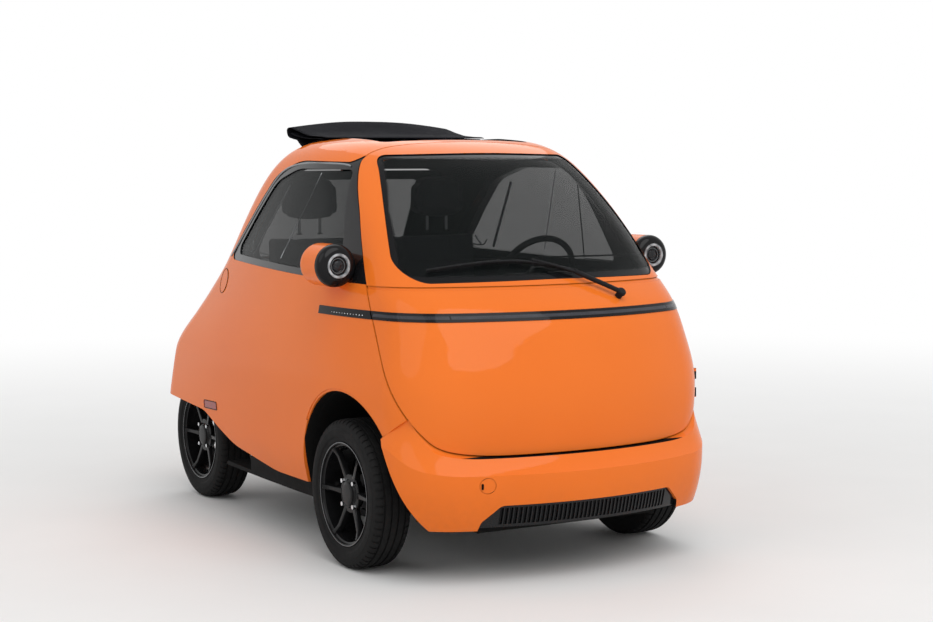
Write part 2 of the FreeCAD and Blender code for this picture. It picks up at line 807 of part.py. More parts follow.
def rim(hub, axle, outward):
    """Barrel, six dished spokes and a hub with its bore."""
    w = TYRE_WIDTH / 2
    barrel = [(-w + 6, LIP_RADIUS, 0), (-w + 6, RIM_RADIUS, 0), (-w + 14, RIM_RADIUS - 8, 0),
              (w - 14, RIM_RADIUS - 8, 0), (w - 6, RIM_RADIUS, 0), (w - 6, LIP_RADIUS, 0)]
    face = w - 14
    origin, way = V(0, 0, 0), V(1, 0, 0)
    hub_section = [(face - 44, 0, 0), (face - 44, 50, 0), (face - 18, 60, 8), (face - 10, 34, 4), (face - 10, 0, 0)]
    dish_section = [(face - 50, 0, 0), (face - 40, 40, 0), (face - 26, RIM_RADIUS, 0), (face + 5, RIM_RADIUS, 0),
                    (face + 5, 160, 0), (face - 8, 150, 0), (face - 18, 45, 0), (face - 18, 0, 0)]
    spoke = [(-17, 40, 0), (-11, RIM_RADIUS - 4, 0), (11, RIM_RADIUS - 4, 0), (17, 40, 0)]
    blade = prism(spoke, "x", face - 40, face).common(spun(dish_section, origin, way))
    pieces = [spun(hub_section, origin, way), rod(V(KNUCKLE_HALF + 5 - PIN_OFFSET, 0, 0), V(face - 12, 0, 0), 38)]
    for i in range(SPOKES):
        turned = blade.copy()
        turned.rotate(origin, way, 30 + i * 360.0 / SPOKES)
        pieces.append(turned)
    shape = spun(barrel, origin, way).fuse(pieces)
    shape = shape.cut(rod(V(-80, 0, 0), V(STUB_END + 2, 0, 0), STUB_RADIUS + 0.1))
    shape = shape.removeSplitter()
    if outward < 0:
        shape = mirror(shape)
    shape.translate(V(hub, axle, TYRE_RADIUS))
    return shape


def make_front_suspension():
    """Arms, strut and kingpin of the right front wheel."""
    x = -KINGPIN
    lower = box(x - 15, -WELL_WALL, FRONT_AXLE - 40, FRONT_AXLE + 40, 172, 196)
    upper = box(x - 15, -420, FRONT_AXLE - 25, FRONT_AXLE + 25, 324, 344)
    pin = rod(V(x, FRONT_AXLE, 190), V(x, FRONT_AXLE, 350), PIN_RADIUS)
    strut = rod(V(-440, FRONT_AXLE, 180), V(-440, FRONT_AXLE, 620), 22)
    return lower.fuse([upper, pin, strut]).common(drum(ARCH_RADIUS - FIT, ARCH_CENTRE, -1, 300, 800))


def make_knuckle():
    """Right upright: turns on the kingpin and carries the stub axle."""
    x = -KINGPIN
    block = box(x - KNUCKLE_HALF, x + KNUCKLE_HALF, FRONT_AXLE - 32, FRONT_AXLE + 32, 202, 318)
    tip = V(-FRONT_HUB - STUB_END, FRONT_AXLE, TYRE_RADIUS)
    stub = rod(V(x, FRONT_AXLE, TYRE_RADIUS), tip, STUB_RADIUS)
    return block.fuse(stub).cut(rod(V(x, FRONT_AXLE, 180), V(x, FRONT_AXLE, 380), PIN_RADIUS + 0.1))


def make_rear_suspension():
    """Trailing arms, cross beam and stub axles."""
    shape = box(-340, 340, 740, 790, 215, 275)
    arm_side = [(580, 205, 0), (640, 205, 0), (960, 225, 20), (960, 295, 20), (860, 295, 40), (580, 255, 0)]
    for side in (-1, 1):
        low, high = sorted((side * 325, side * 365))
        inner = V(side * 338, REAR_AXLE, TYRE_RADIUS)
        outer = V(side * (REAR_HUB + STUB_END), REAR_AXLE, TYRE_RADIUS)
        shape = shape.fuse([prism(arm_side, "x", low, high), rod(inner, outer, STUB_RADIUS)])
    return shape


def build():
    side = solids(make_side())
    save("side_panel_right", side)
    save("side_panel_left", with_door_hinge(mirror(side)))
    save("door_hinge_pin", upright(DOOR_PIN, (DOOR_BARREL_LOW[0], DOOR_BARREL_HIGH[1])))
    save("lid_hinge_pin", across(LID_PIN, -LID_SPAN, LID_SPAN))
    save("roof_panel", make_roof())
    save("rear_panel", make_rear())
    save("tailgate_panel", make_tailgate())
    save("rear_glass", make_rear_glass())
    save("rear_light_strip", layer(rear_strip_slab(), -2, STRIP_DEPTH))
    save("door_panel", make_door())
    save("windscreen", make_screen())
    save("door_light_strip", make_door_strip())
    save("door_bar", make_door_bar())
    save("wiper", make_wiper())
    save("front_bumper", make_bumper())
    save("bumper_grille", make_grille())
    save("soft_top", make_softtop())
    pair("window_frame", make_window_frame())
    pair("side_glass", make_side_glass())
    pair("fender_light", make_fender_strip())
    pair("side_marker", layer(marker_area(), -1, 5))
    save("charge_flap", make_flap())
    pair("pod", make_pod())
    pair("lamp", make_lamp())
    pair("mirror", make_mirror())
    save("underbody", make_underbody())
    save("battery", make_battery())
    save("motor", make_motor())
    save("seat_cushion", make_cushion())
    save("seat_back", make_seatback())
    save("headrest_right", make_headrest(-1))
    save("headrest_left", make_headrest(1))
    save("steering_column", make_column())
    save("steering_wheel", make_steering_wheel())
    pair("front_suspension", make_front_suspension())
    pair("knuckle", make_knuckle())
    save("rear_suspension", make_rear_suspension())
    for name, hub, axle in (("front_right", -FRONT_HUB, FRONT_AXLE), ("front_left", FRONT_HUB, FRONT_AXLE),
                            ("rear_right", -REAR_HUB, REAR_AXLE), ("rear_left", REAR_HUB, REAR_AXLE)):
        save("tyre_" + name, tyre(hub, axle))
        save("rim_" + name, rim(hub, axle, math.copysign(1, hub)))


build()
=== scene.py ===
import json
import math

import bmesh
import bpy
from mathutils import Matrix, Vector, noise
from mathutils.bvhtree import BVHTree


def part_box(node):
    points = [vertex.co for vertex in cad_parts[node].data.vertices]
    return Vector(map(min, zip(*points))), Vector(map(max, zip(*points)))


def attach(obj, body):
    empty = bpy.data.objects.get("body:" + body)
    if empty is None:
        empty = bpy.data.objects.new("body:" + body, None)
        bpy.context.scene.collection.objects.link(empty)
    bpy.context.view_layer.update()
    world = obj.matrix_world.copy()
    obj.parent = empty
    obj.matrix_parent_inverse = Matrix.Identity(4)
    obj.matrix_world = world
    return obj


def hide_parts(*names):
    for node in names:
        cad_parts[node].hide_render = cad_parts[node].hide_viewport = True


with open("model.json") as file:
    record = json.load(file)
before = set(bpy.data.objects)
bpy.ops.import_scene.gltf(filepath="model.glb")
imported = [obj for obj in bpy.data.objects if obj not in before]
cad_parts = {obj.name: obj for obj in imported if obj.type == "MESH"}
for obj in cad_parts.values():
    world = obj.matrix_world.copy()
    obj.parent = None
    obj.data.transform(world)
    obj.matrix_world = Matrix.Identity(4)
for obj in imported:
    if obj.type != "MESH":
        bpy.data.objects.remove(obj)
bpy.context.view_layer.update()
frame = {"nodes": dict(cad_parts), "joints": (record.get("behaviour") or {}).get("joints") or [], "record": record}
cadNodes = frame["nodes"]
scene = bpy.context.scene
jointPlace = {joint["name"]: Vector(joint["pos_m"]) for joint in frame["joints"]}
bothSides = ((-1, "right"), (1, "left"))
print("frame loaded:", len(cadNodes), "nodes")


def linked(name, data):
    made = bpy.data.objects.new(name, data)
    scene.collection.objects.link(made)
    return made


# Camera at the photographer's place, found from the wheels and lamp pods
photoView = {
    "lens": 70.29,
    "azimuth": -30.363,
    "elevation": 4.591,
    "roll": -0.271,
    "place": (-3.416, -6.2304, 1.3937),
    "sensor": 36,
    "clip": (0.1, 200),
}


def makeCamera(s):
    data = bpy.data.cameras.new("photoCamera")
    data.sensor_width = s["sensor"]
    data.sensor_fit = "HORIZONTAL"
    data.lens = s["lens"]
    data.clip_start, data.clip_end = s["clip"]
    cam = linked("photoCamera", data)
    a, e, r = (math.radians(s[k]) for k in ("azimuth", "elevation", "roll"))
    back = Vector((math.sin(a) * math.cos(e), -math.cos(a) * math.cos(e), math.sin(e)))
    right = Vector((math.cos(a), math.sin(a), 0))
    up = back.cross(right)
    tiltedRight = right * math.cos(r) + up * math.sin(r)
    tiltedUp = up * math.cos(r) - right * math.sin(r)
    turn = Matrix((tiltedRight, tiltedUp, back)).transposed().to_4x4()
    cam.matrix_world = Matrix.Translation(Vector(s["place"])) @ turn
    scene.camera = cam


makeCamera(photoView)
print("camera made")


class Sock:
    # Wraps a node's output so that shader maths reads as plain expressions
    def __init__(self, tree, out):
        self.tree = tree
        self.out = out

    def maths(self, kind, other=None, flip=False):
        a, b = (other, self) if flip else (self, other)
        sockets = {0: a} if b is None else {0: a, 1: b}
        return self.tree.node("ShaderNodeMath", {"operation": kind}, sockets)

    def __add__(self, other):
        return self.maths("ADD", other)

    def __sub__(self, other):
        return self.maths("SUBTRACT", other)

    def __rsub__(self, other):
        return self.maths("SUBTRACT", other, flip=True)

    def __mul__(self, other):
        return self.maths("MULTIPLY", other)

    def __rmul__(self, other):
        return self.maths("MULTIPLY", other)

    def __lt__(self, other):
        return self.maths("LESS_THAN", other)

    def least(self, other):
        return self.maths("MINIMUM", other)

    def most(self, other):
        return self.maths("MAXIMUM", other)

    def size(self):
        return self.maths("ABSOLUTE")

    def wave(self):
        return self.maths("SINE")


class Tree:
    # A material's or world's nodes, made and linked in one call each
    def __init__(self, block):
        block.use_nodes = True
        self.tree = block.node_tree

    def node(self, kind, settings, sockets, out=0):
        made = self.tree.nodes.new(kind)
        for key, value in settings.items():
            setattr(made, key, value)
        for key, value in sockets.items():
            if isinstance(value, Sock):
                self.tree.links.new(value.out, made.inputs[key])
            else:
                made.inputs[key].default_value = value
        return Sock(self, made.outputs[out])

    def between(self, factor, low, high, start=0.0, end=1.0):
        sockets = {"Value": factor, "From Min": start, "From Max": end, "To Min": low, "To Max": high}
        return self.node("ShaderNodeMapRange", {}, sockets, "Result")

    def whiteRays(self):
        # One for the rays that see a plain white surround: the camera's, reflected and transmitted ones
        rays = ("Is Camera Ray", "Is Glossy Ray", "Is Transmission Ray")
        camera, glossy, through = (self.node("ShaderNodeLightPath", {}, {}, ray) for ray in rays)
        return camera.most(glossy).most(through)


class Finish(Tree):
    # One procedural material: constants go straight on the shader's sockets
    def __init__(self, name, **constants):
        self.material = bpy.data.materials.new(name)
        super().__init__(self.material)
        self.shader = self.tree.nodes["Principled BSDF"]
        for key, value in constants.items():
            self.shader.inputs[key.replace("_", " ")].default_value = value
        self.place = self.node("ShaderNodeTexCoord", {}, {}, "Object")
        self.normal = self.node("ShaderNodeTexCoord", {}, {}, "Normal")
        parts = (self.node("ShaderNodeSeparateXYZ", {}, {"Vector": self.place}, axis) for axis in "XYZ")
        self.x, self.y, self.z = parts

    def feed(self, key, value):
        self.tree.links.new(value.out, self.shader.inputs[key])

    def vectors(self, kind, first, second, out="Vector"):
        return self.node("ShaderNodeVectorMath", {"operation": kind}, {0: first, 1: second}, out)

    def stretched(self, x, y, z):
        return self.node("ShaderNodeMapping", {}, {"Vector": self.place, "Scale": (x, y, z)})

    def noise(self, scale, detail=2.0, roughness=0.5, at=None):
        sockets = {"Vector": at or self.place, "Scale": scale, "Detail": detail, "Roughness": roughness}
        return self.node("ShaderNodeTexNoise", {}, sockets, "Fac")

    def towards(self, x, y, z, across=1.0):
        # Positive where the surface faces away from a place; across = 0 measures it in the side view alone
        way = self.vectors("SUBTRACT", self.place, (x, y, z))
        way = self.vectors("MULTIPLY", way, (across, 1, 1))
        return self.vectors("DOT_PRODUCT", way, self.normal, "Value")

    def cloudyRough(self, scale, detail, low, high):
        self.feed("Roughness", self.between(self.noise(scale, detail), low, high))

    def tint(self, factor, first, second):
        # Sockets 6 and 7 are the Mix node's two colours
        sockets = {0: factor}
        for key, colour in ((6, first), (7, second)):
            sockets[key] = colour if isinstance(colour, Sock) else (*colour, 1)
        return self.node("ShaderNodeMix", {"data_type": "RGBA"}, sockets, 2)

    def bump(self, height, depth, rounding=0.0):
        sockets = {"Height": height, "Distance": depth}
        if rounding:
            sockets["Normal"] = self.node("ShaderNodeBevel", {"samples": 4}, {"Radius": rounding}, "Normal")
        self.feed("Normal", self.node("ShaderNodeBump", {}, sockets, "Normal"))


# Orange lacquer: a slight drift of tone, an orange peel, a darker, duller tone low down and softened panel edges;
# dark lining on the panels' inner faces; painted shade inside the front arches, behind their lips
orange = {
    "deep": (0.81, 0.162, 0.016),
    "bright": (0.88, 0.198, 0.026),
    "lowDarkTone": (0.44, 0.12, 0.03),
    "lowDarkToneHeight": (0.2, 0.42),
    "rough": 0.3,
    "coat": 0.65,
    "peel": 0.0001,
    "edge": 0.0025,
    "liningAndShadeColour": (0.012, 0.012, 0.012),
    "liningAndShadeRough": 0.75,
    "podBack": (0.006, 0.006, 0.007),
    # faces that look towards the cabin's middle are lined
    "middle": (0.0, -0.05, 0.75),
    # front arch, where shade is painted: axle (y, z), reach round it, and the lip's half width with its taper
    # ahead and below
    "axle": (-0.64, 0.26),
    "archShadeReach": 0.385,
    "lip": {"half": 0.65, "front": -0.62, "taper": 0.14, "foot": 0.42, "tuck": 0.2},
    # door hinge and the half size of its lining
    "hinge": ((0.606, -0.99, 0.6), (0.021, 0.021, 0.046)),
}


def paintFinish(name, s, split=None):
    m = Finish(name, Coat_Weight=s["coat"], Coat_Roughness=0.035, Coat_IOR=1.34, Specular_IOR_Level=0.0)
    colour = m.tint(m.noise(1.4, 2.0), s["deep"], s["bright"])
    # darker, duller tone in patches towards the bottom of the body
    low = m.between(m.z + m.noise(5.0, 4.0) * 0.12, 1.0, 0.0, *s["lowDarkToneHeight"])
    colour = m.tint(low * m.noise(38.0, 5.0) * 0.5, colour, s["lowDarkTone"])
    if split is not None:
        colour = m.tint(m.y < split, colour, s["podBack"])
    rough = m.between(m.noise(22.0, 4.0), s["rough"] - 0.04, s["rough"] + 0.06) + low * 0.15
    if split is None:
        axle = (0, *s["axle"])
        lip = s["lip"]
        radius = m.vectors("DISTANCE", m.vectors("MULTIPLY", m.place, (0, 1, 1)), axle, "Value")
        ahead, below = (lip["front"] - m.y).most(0.0), (lip["foot"] - m.z).most(0.0)
        edge = lip["half"] - ahead * lip["taper"] - below * lip["tuck"]
        # painted shade: faces inside the front arches that look towards the axle, behind the lip, are darkened
        archPaintedShade = (m.towards(*axle, 0.0) < 0.0) * (radius < s["archShadeReach"]) * (m.x.size() < edge)
        sides = zip((m.x, m.y, m.z), *s["hinge"])
        pinX, pinY, pinZ = ((at - middle).size() < half for at, middle, half in sides)
        # dark lining on the inner faces and the hinge, and painted shade in the front arches, all in one colour
        liningAndShadeMask = (m.towards(*s["middle"]) < 0.0).most(archPaintedShade).most(pinX * pinY * pinZ)
        colour = m.tint(liningAndShadeMask, colour, s["liningAndShadeColour"])
        rough = rough.most(liningAndShadeMask * s["liningAndShadeRough"])
        m.feed("Coat Weight", s["coat"] * (1 - liningAndShadeMask))
    m.feed("Base Color", colour)
    m.feed("Roughness", rough)
    m.bump(m.noise(230.0, 1.0), s["peel"], s["edge"])
    return m.material


def plasticFinish(name, colour, rough, grain, depth, edge=0.0015, **more):
    # Moulded or painted plain surface: cloudy sheen, fine grain and a paler worn film
    m = Finish(name, **{"Specular_IOR_Level": 0.08, **more})
    worn = tuple(c * 1.6 + 0.003 for c in colour)
    m.feed("Base Color", m.tint(m.noise(9.0, 5.0) * m.noise(70.0, 3.0), colour, worn))
    m.cloudyRough(30.0, 4.0, rough - 0.05, rough + 0.1)
    m.bump(m.noise(grain, 3.0), depth, edge)
    return m.material


def glassFinish(name, s, border=None):
    # Tinted pane: see-through in the middle, with the ceramic border where there is one
    m = Finish(name, IOR=1.2)
    m.cloudyRough(14.0, 4.0, 0.015, 0.05)
    if border is None:
        m.feed("Base Color", m.tint(m.noise(3.0), s["tint"], s["tintLight"]))
        m.feed("Alpha", m.between(m.noise(3.0), s["alpha"], s["alpha"] + 0.04))
        return m.material
    side = m.x.size()
    slopes = [(m.z - z) * slope - side + half for z, half, slope in border["sides"]]
    inside = slopes[0].least(slopes[1]).least(m.z - border["bottom"]).least(border["top"] - m.z)
    band = m.between(inside, 1.0, 0.0, border["solid"], border["clear"])
    m.feed("Base Color", m.tint(band, s["tint"], border["colour"]))
    m.feed("Alpha", m.between(band, border["alpha"], 1.0))
    return m.material


glassLook = {"tint": (0.006, 0.008, 0.008), "tintLight": (0.009, 0.012, 0.012), "alpha": 0.5}
screenBorder = {
    "sides": [(0.996, 0.541, -0.246), (1.24, 0.481, -0.437)],
    "bottom": 1.0,
    "top": 1.436,
    "solid": 0.016,
    "clear": 0.024,
    "colour": (0.008, 0.008, 0.009),
    "alpha": 0.4,
}


def rubberFinish(name):
    m = Finish(name, Specular_IOR_Level=0.1)
    dust = m.noise(6.0, 5.0) * m.noise(90.0, 3.0)
    m.feed("Base Color", m.tint(dust, (0.0065, 0.0065, 0.007), (0.03, 0.029, 0.028)))
    m.cloudyRough(45.0, 4.0, 0.62, 0.86)
    m.bump(m.noise(420.0, 3.0), 0.0005)
    return m.material


def clothFinish(name, colour, weave=900.0, depth=0.0006, rough=0.85, sheen=0.0):
    # Woven cloth: two crossed sets of threads on Object coordinates, with slubs and dust
    m = Finish(name, Sheen_Weight=sheen, Sheen_Roughness=0.5, Specular_IOR_Level=0.04)
    threads = ((m.x + m.z) * weave).wave() * ((m.y - m.z) * weave).wave()
    pale = tuple(c * 2.1 + 0.006 for c in colour)
    m.feed("Base Color", m.tint(m.noise(120.0, 4.0) * m.noise(7.0, 3.0) * 1.3, colour, pale))
    m.cloudyRough(30.0, 3.0, rough - 0.08, rough + 0.1)
    m.bump(threads * 0.5 + m.noise(260.0, 3.0), depth)
    return m.material


def metalFinish(name, colour, rough, streak=(4.0, 4.0, 60.0), edge=0.0):
    m = Finish(name, Metallic=1.0)
    dull = tuple(c * 0.72 for c in colour)
    m.feed("Base Color", m.tint(m.noise(18.0, 5.0), colour, dull))
    m.feed("Roughness", m.between(m.noise(12.0, 4.0, at=m.stretched(*streak)), rough, rough + 0.14))
    m.bump(m.noise(160.0, 3.0), 0.00012, edge)
    return m.material


# Lamp strip: a smoky light guide along its middle, dark joints and dark fender ends
stripLook = {
    "height": 0.8905,
    "half": (0.0045, 0.0058),
    "front": -0.8,
    "joint": (0.44, 0.0022),
    "black": (0.006, 0.006, 0.007),
    "smoke": (0.012, 0.013, 0.017),
    "pale": (0.075, 0.076, 0.09),
    "flutes": 900.0,
}


def stripFinish(name, s):
    m = Finish(name, Coat_Weight=0.35, Coat_Roughness=0.03, Coat_IOR=1.35, Specular_IOR_Level=0.05)
    guide = m.between((m.z - s["height"]).size(), 1.0, 0.0, *s["half"]) * (m.y < s["front"])
    place, half = s["joint"]
    joints = ((m.x + place).size() < half) + ((m.x - place).size() < half)
    band = m.tint(m.noise(11.0, 3.0, at=m.stretched(1.0, 1.0, 9.0)), s["smoke"], s["pale"])
    m.feed("Base Color", m.tint(guide * (1 - joints), s["black"], band))
    m.cloudyRough(25.0, 3.0, 0.1, 0.2)
    m.bump((m.x * s["flutes"]).wave() * guide + m.noise(80.0, 2.0) * 0.2, 0.0004, 0.0012)
    return m.material


def lensFinish(name, colour, glow, ribs, dark=0.35, deep=0.0006):
    # Moulded lens with ribs on its inner face and a light of its own as faint as daylight shows it
    m = Finish(name, Coat_Weight=0.6, Coat_Roughness=0.02, Coat_IOR=1.35, Emission_Strength=glow,
               Specular_IOR_Level=0.1)
    rib = ((m.y + m.x) * ribs).wave() * (m.z * ribs).wave()
    darker = tuple(c * dark for c in colour)
    shade = m.tint(m.between(rib, 0.0, 1.0, -1.0, 1.0), darker, colour)
    m.feed("Base Color", shade)
    m.feed("Emission Color", shade)
    m.cloudyRough(60.0, 3.0, 0.08, 0.2)
    m.bump(rib, deep)
    return m.material


# Finishes by the CAD's material slots, and the extra ones of the added trim
podSplit = -0.632
finishes = {
    "body_paint": paintFinish("bodyPaint", orange),
    "pod_shell": paintFinish("podPaint", orange, podSplit),
    "black_trim": plasticFinish("blackTrim", (0.007, 0.007, 0.008), 0.16, 300.0, 0.00004, 0.002,
                                Coat_Weight=0.45, Coat_Roughness=0.04),
    "window_glass": glassFinish("windowGlass", glassLook),
    "strip_lamp": stripFinish("stripLamp", stripLook),
    "tail_lamp": lensFinish("tailLamp", (0.3, 0.012, 0.006), 0.0, 1400.0, 0.85, 0.00005),
    "lamp_lens": lensFinish("lampLens", (0.055, 0.058, 0.062), 0.0, 420.0),
    "mirror_face": metalFinish("mirrorFace", (0.86, 0.87, 0.88), 0.01, (1.0, 1.0, 1.0)),
    "canvas": clothFinish("canvas", (0.005, 0.0052, 0.0072), 1500.0, 0.0004, 0.8),
    "underbody_black": plasticFinish("underbodyBlack", (0.006, 0.006, 0.006), 0.72, 140.0, 0.0006, 0.003,
                                     Specular_IOR_Level=0.1),
    "housing_grey": metalFinish("housingGrey", (0.2, 0.205, 0.21), 0.42, edge=0.002),
    "seat_cloth": clothFinish("seatCloth", (0.014, 0.014, 0.016), 1100.0, 0.0007, 0.86, 0.1),
    "cabin_black": plasticFinish("cabinBlack", (0.011, 0.011, 0.012), 0.46, 620.0, 0.0003, 0.002),
    "chassis_steel": plasticFinish("chassisSteel", (0.016, 0.016, 0.017), 0.36, 110.0, 0.0005, 0.0015,
                                   Metallic=0.4),
    "tyre_rubber": rubberFinish("tyreRubber"),
    "rim_black": plasticFinish("rimBlack", (0.006, 0.006, 0.0065), 0.2, 340.0, 0.00006, 0.0015,
                               Coat_Weight=0.16, Coat_Roughness=0.06),
}
extras = {
    "screenGlass": glassFinish("screenGlass", glassLook, screenBorder),
    "seal": plasticFinish("sealRubber", (0.008, 0.008, 0.008), 0.55, 500.0, 0.0003, 0.0),
    "chrome": metalFinish("brightMetal", (0.8, 0.81, 0.83), 0.1),
    "satin": metalFinish("satinTrim", (0.3, 0.31, 0.32), 0.25),
    "ringLamp": lensFinish("ringLamp", (0.46, 0.48, 0.5), 0.12, 160.0),
    "led": lensFinish("ledLens", (0.85, 0.88, 0.92), 0.6, 90.0),
    "greySeal": plasticFinish("greySeal", (0.5, 0.52, 0.54), 0.42, 700.0, 0.0004, 0.0),
    "deepGlass": plasticFinish("deepGlass", (0.01, 0.011, 0.013), 0.08, 300.0, 0.00003, 0.0,
                               Coat_Weight=0.6),
    "lampGlass": glassFinish("lampGlass", {"tint": (0.03, 0.03, 0.032), "tintLight": (0.05, 0.05, 0.055),
                                           "alpha": 0.22}),
    "seam": plasticFinish("seamShadow", (0.0025, 0.0022, 0.002), 0.7, 500.0, 0.0003, 0.0),
}
for part in frame["record"]["subparts"]:
    node = cadNodes[part["node"]]
    node.data.materials.clear()
    node.data.materials.append(finishes[part["material_slot"]])
cadNodes["windscreen"].data.materials[0] = extras["screenGlass"]
print("finishes set")


def surfaceOf(*names):
    # Ray-cast tree of each named CAD node, to set small trim on its surface
    graph = bpy.context.evaluated_depsgraph_get()
    return [BVHTree.FromObject(cadNodes[name], graph) for name in names]


def hitOf(trees, start, way):
    hits = [tree.ray_cast(Vector(start), Vector(way)) for tree in trees]
    hits = [hit for hit in hits if hit[0] is not None]
    return min(hits, key=lambda hit: hit[3])[:2]


def markFaces(verts, material):
    for face in {f for v in verts for f in v.link_faces}:
        face.material_index = material


def meshOf(name, bm):
    data = bpy.data.meshes.new(name)
    bm.to_mesh(data)
    bm.free()
    return data


def toMesh(name, bm, finish, body="body", nodes=(), sharp=32, merge=0.00002):
    # Makes a finished bmesh a piece that rides on a body and stands for its CAD nodes
    bmesh.ops.remove_doubles(bm, verts=bm.verts, dist=merge)
    bmesh.ops.recalc_face_normals(bm, faces=bm.faces)
    data = meshOf(name, bm)
    for material in (finish if isinstance(finish, list) else [finish]):
        data.materials.append(material)
    data.shade_smooth()
    data.set_sharp_from_angle(angle=math.radians(sharp))
    piece = linked(name, data)
    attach(piece, body)
    if nodes:
        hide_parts(*nodes)
    return piece


def spinProfile(bm, profile, steps, turn, material=0):
    # Spins a profile of (along, radius) about X and puts it in place by a matrix
    old = set(bm.verts)
    ends = [bm.verts.new((along, 0, radius)) for along, radius in profile]
    closed = profile[0][1] > 0
    edges = [bm.edges.new((ends[i - 1], ends[i])) for i in range(0 if closed else 1, len(ends))]
    bmesh.ops.spin(bm, geom=ends + edges, cent=(0, 0, 0), axis=(1, 0, 0), angle=2 * math.pi, steps=steps,
                   use_merge=True)
    fresh = [v for v in bm.verts if v not in old]
    markFaces(fresh, material)
    bmesh.ops.transform(bm, matrix=turn, verts=fresh)


def curveMesh(points, radius=0.0, sides=3, closed=False, steps=12):
    # The mesh of a curve along a few points: smooth from three on, straight between those of a closed ring
    curve = bpy.data.curves.new("path", "CURVE")
    curve.dimensions = "3D"
    curve.resolution_u = steps
    curve.bevel_depth = radius
    curve.bevel_resolution = sides
    curve.use_fill_caps = not closed
    line = curve.splines.new("POLY" if closed or len(points) < 3 else "NURBS")
    line.points.add(len(points) - 1)
    for point, place in zip(line.points, points):
        point.co = (*place, 1)
    line.order_u = 3
    line.use_endpoint_u = not closed
    line.use_cyclic_u = closed
    holder = bpy.data.objects.new("path", curve)
    mesh = bpy.data.meshes.new_from_object(holder)
    bpy.data.objects.remove(holder)
    return mesh


def addTube(bm, points, radius, material=0, sides=3, closed=False):
    mesh = curveMesh(points, radius, sides, closed)
    old = set(bm.faces)
    bm.from_mesh(mesh)
    for face in set(bm.faces) - old:
        face.material_index = material
    bpy.data.meshes.remove(mesh)


def addCone(bm, near, far, depth, sides, turn, material=0):
    made = bmesh.ops.create_cone(bm, cap_ends=True, segments=sides, radius1=near, radius2=far, depth=depth,
                                 matrix=turn)
    markFaces(made["verts"], material)


def addBlock(bm, size, turn, bevel=0.0, material=0, segments=2):
    # A box with its edges rounded, put in place by a matrix
    old = set(bm.verts)
    bmesh.ops.create_cube(bm, size=1.0, matrix=Matrix.Diagonal((*size, 1)))
    fresh = [v for v in bm.verts if v not in old]
    if bevel:
        edges = list(dict.fromkeys(e for v in fresh for e in v.link_edges))
        bmesh.ops.bevel(bm, geom=edges, offset=bevel, segments=segments, profile=0.5, affect="EDGES",
                        material=-1)
        fresh = [v for v in bm.verts if v not in old]
    bmesh.ops.transform(bm, matrix=turn, verts=fresh)
    markFaces(fresh, material)


def facing(normal, place, up=(0, 0, 1)):
    # A frame at a place whose Z looks along the normal and whose Y is near up
    z = Vector(normal).normalized()
    x = Vector(up).cross(z).normalized()
    return Matrix.Translation(Vector(place)) @ Matrix((x, z.cross(x), z)).transposed().to_4x4()


def quarterTurn(axis, sign=1):
    return Matrix.Rotation(math.radians(90 * sign), 4, axis)


def aimed(way, track, up):
    # The turn that leads a piece's own axis along a way
    return Vector(way).to_track_quat(track, up).to_matrix().to_4x4()


# Tyres: bulged side walls, grooved tread and shoulder sipes; (along, radius) from bead to tread middle
tyre = {
    "half": [
        (0.056, 0.18), (0.061, 0.1806), (0.0655, 0.185), (0.0672, 0.1905), (0.0668, 0.1945),
        (0.069, 0.201), (0.0698, 0.2016), (0.0706, 0.2024), (0.0712, 0.206), (0.0721, 0.212),
        (0.0724, 0.219), (0.0719, 0.227), (0.0712, 0.2276), (0.0706, 0.231), (0.0688, 0.239),
        (0.0664, 0.245), (0.0636, 0.25), (0.059, 0.2548), (0.054, 0.2574), (0.049, 0.2583),
        (0.0438, 0.2588), (0.0428, 0.253), (0.0366, 0.253), (0.0356, 0.2594), (0.025, 0.2598),
        (0.017, 0.26), (0.016, 0.2535), (0.0098, 0.2535), (0.0088, 0.26), (0.0, 0.26),
    ],
    "steps": 240,
    "sipePitch": 4,
    "sipeDepth": 0.0036,
    "sipeLean": 0.25,
    "sipeFrom": 0.044,
    "sipeTo": 0.066,
    "sipeAbove": 0.2465,
}


def makeTyre(corner, s):
    centre = jointPlace["spin_" + corner]
    bm = bmesh.new()
    profile = s["half"] + [(-a, r) for a, r in reversed(s["half"][:-1])]
    spinProfile(bm, profile, s["steps"], Matrix.Identity(4))
    pitch = 2 * math.pi / s["steps"]
    sipes = []
    for face in bm.faces:
        middle = face.calc_center_median()
        step = int((math.atan2(middle.z, middle.y) + math.pi) / pitch)
        shoulder = s["sipeFrom"] < abs(middle.x) < s["sipeTo"] and middle.yz.length > s["sipeAbove"]
        if shoulder and step % s["sipePitch"] == 0:
            sipes.append(face)
    pushed = bmesh.ops.extrude_face_region(bm, geom=sipes)["geom"]
    bmesh.ops.delete(bm, geom=sipes, context="FACES_KEEP_BOUNDARY")
    for v in (g for g in pushed if isinstance(g, bmesh.types.BMVert)):
        v.co -= Vector((v.co.x * s["sipeLean"], v.co.y, v.co.z)).normalized() * s["sipeDepth"]
    bmesh.ops.translate(bm, vec=centre, verts=bm.verts)
    toMesh("tyre" + corner.title().replace("_", ""), bm, finishes["tyre_rubber"], "wheel_" + corner,
           ["tyre_" + corner], sharp=40)


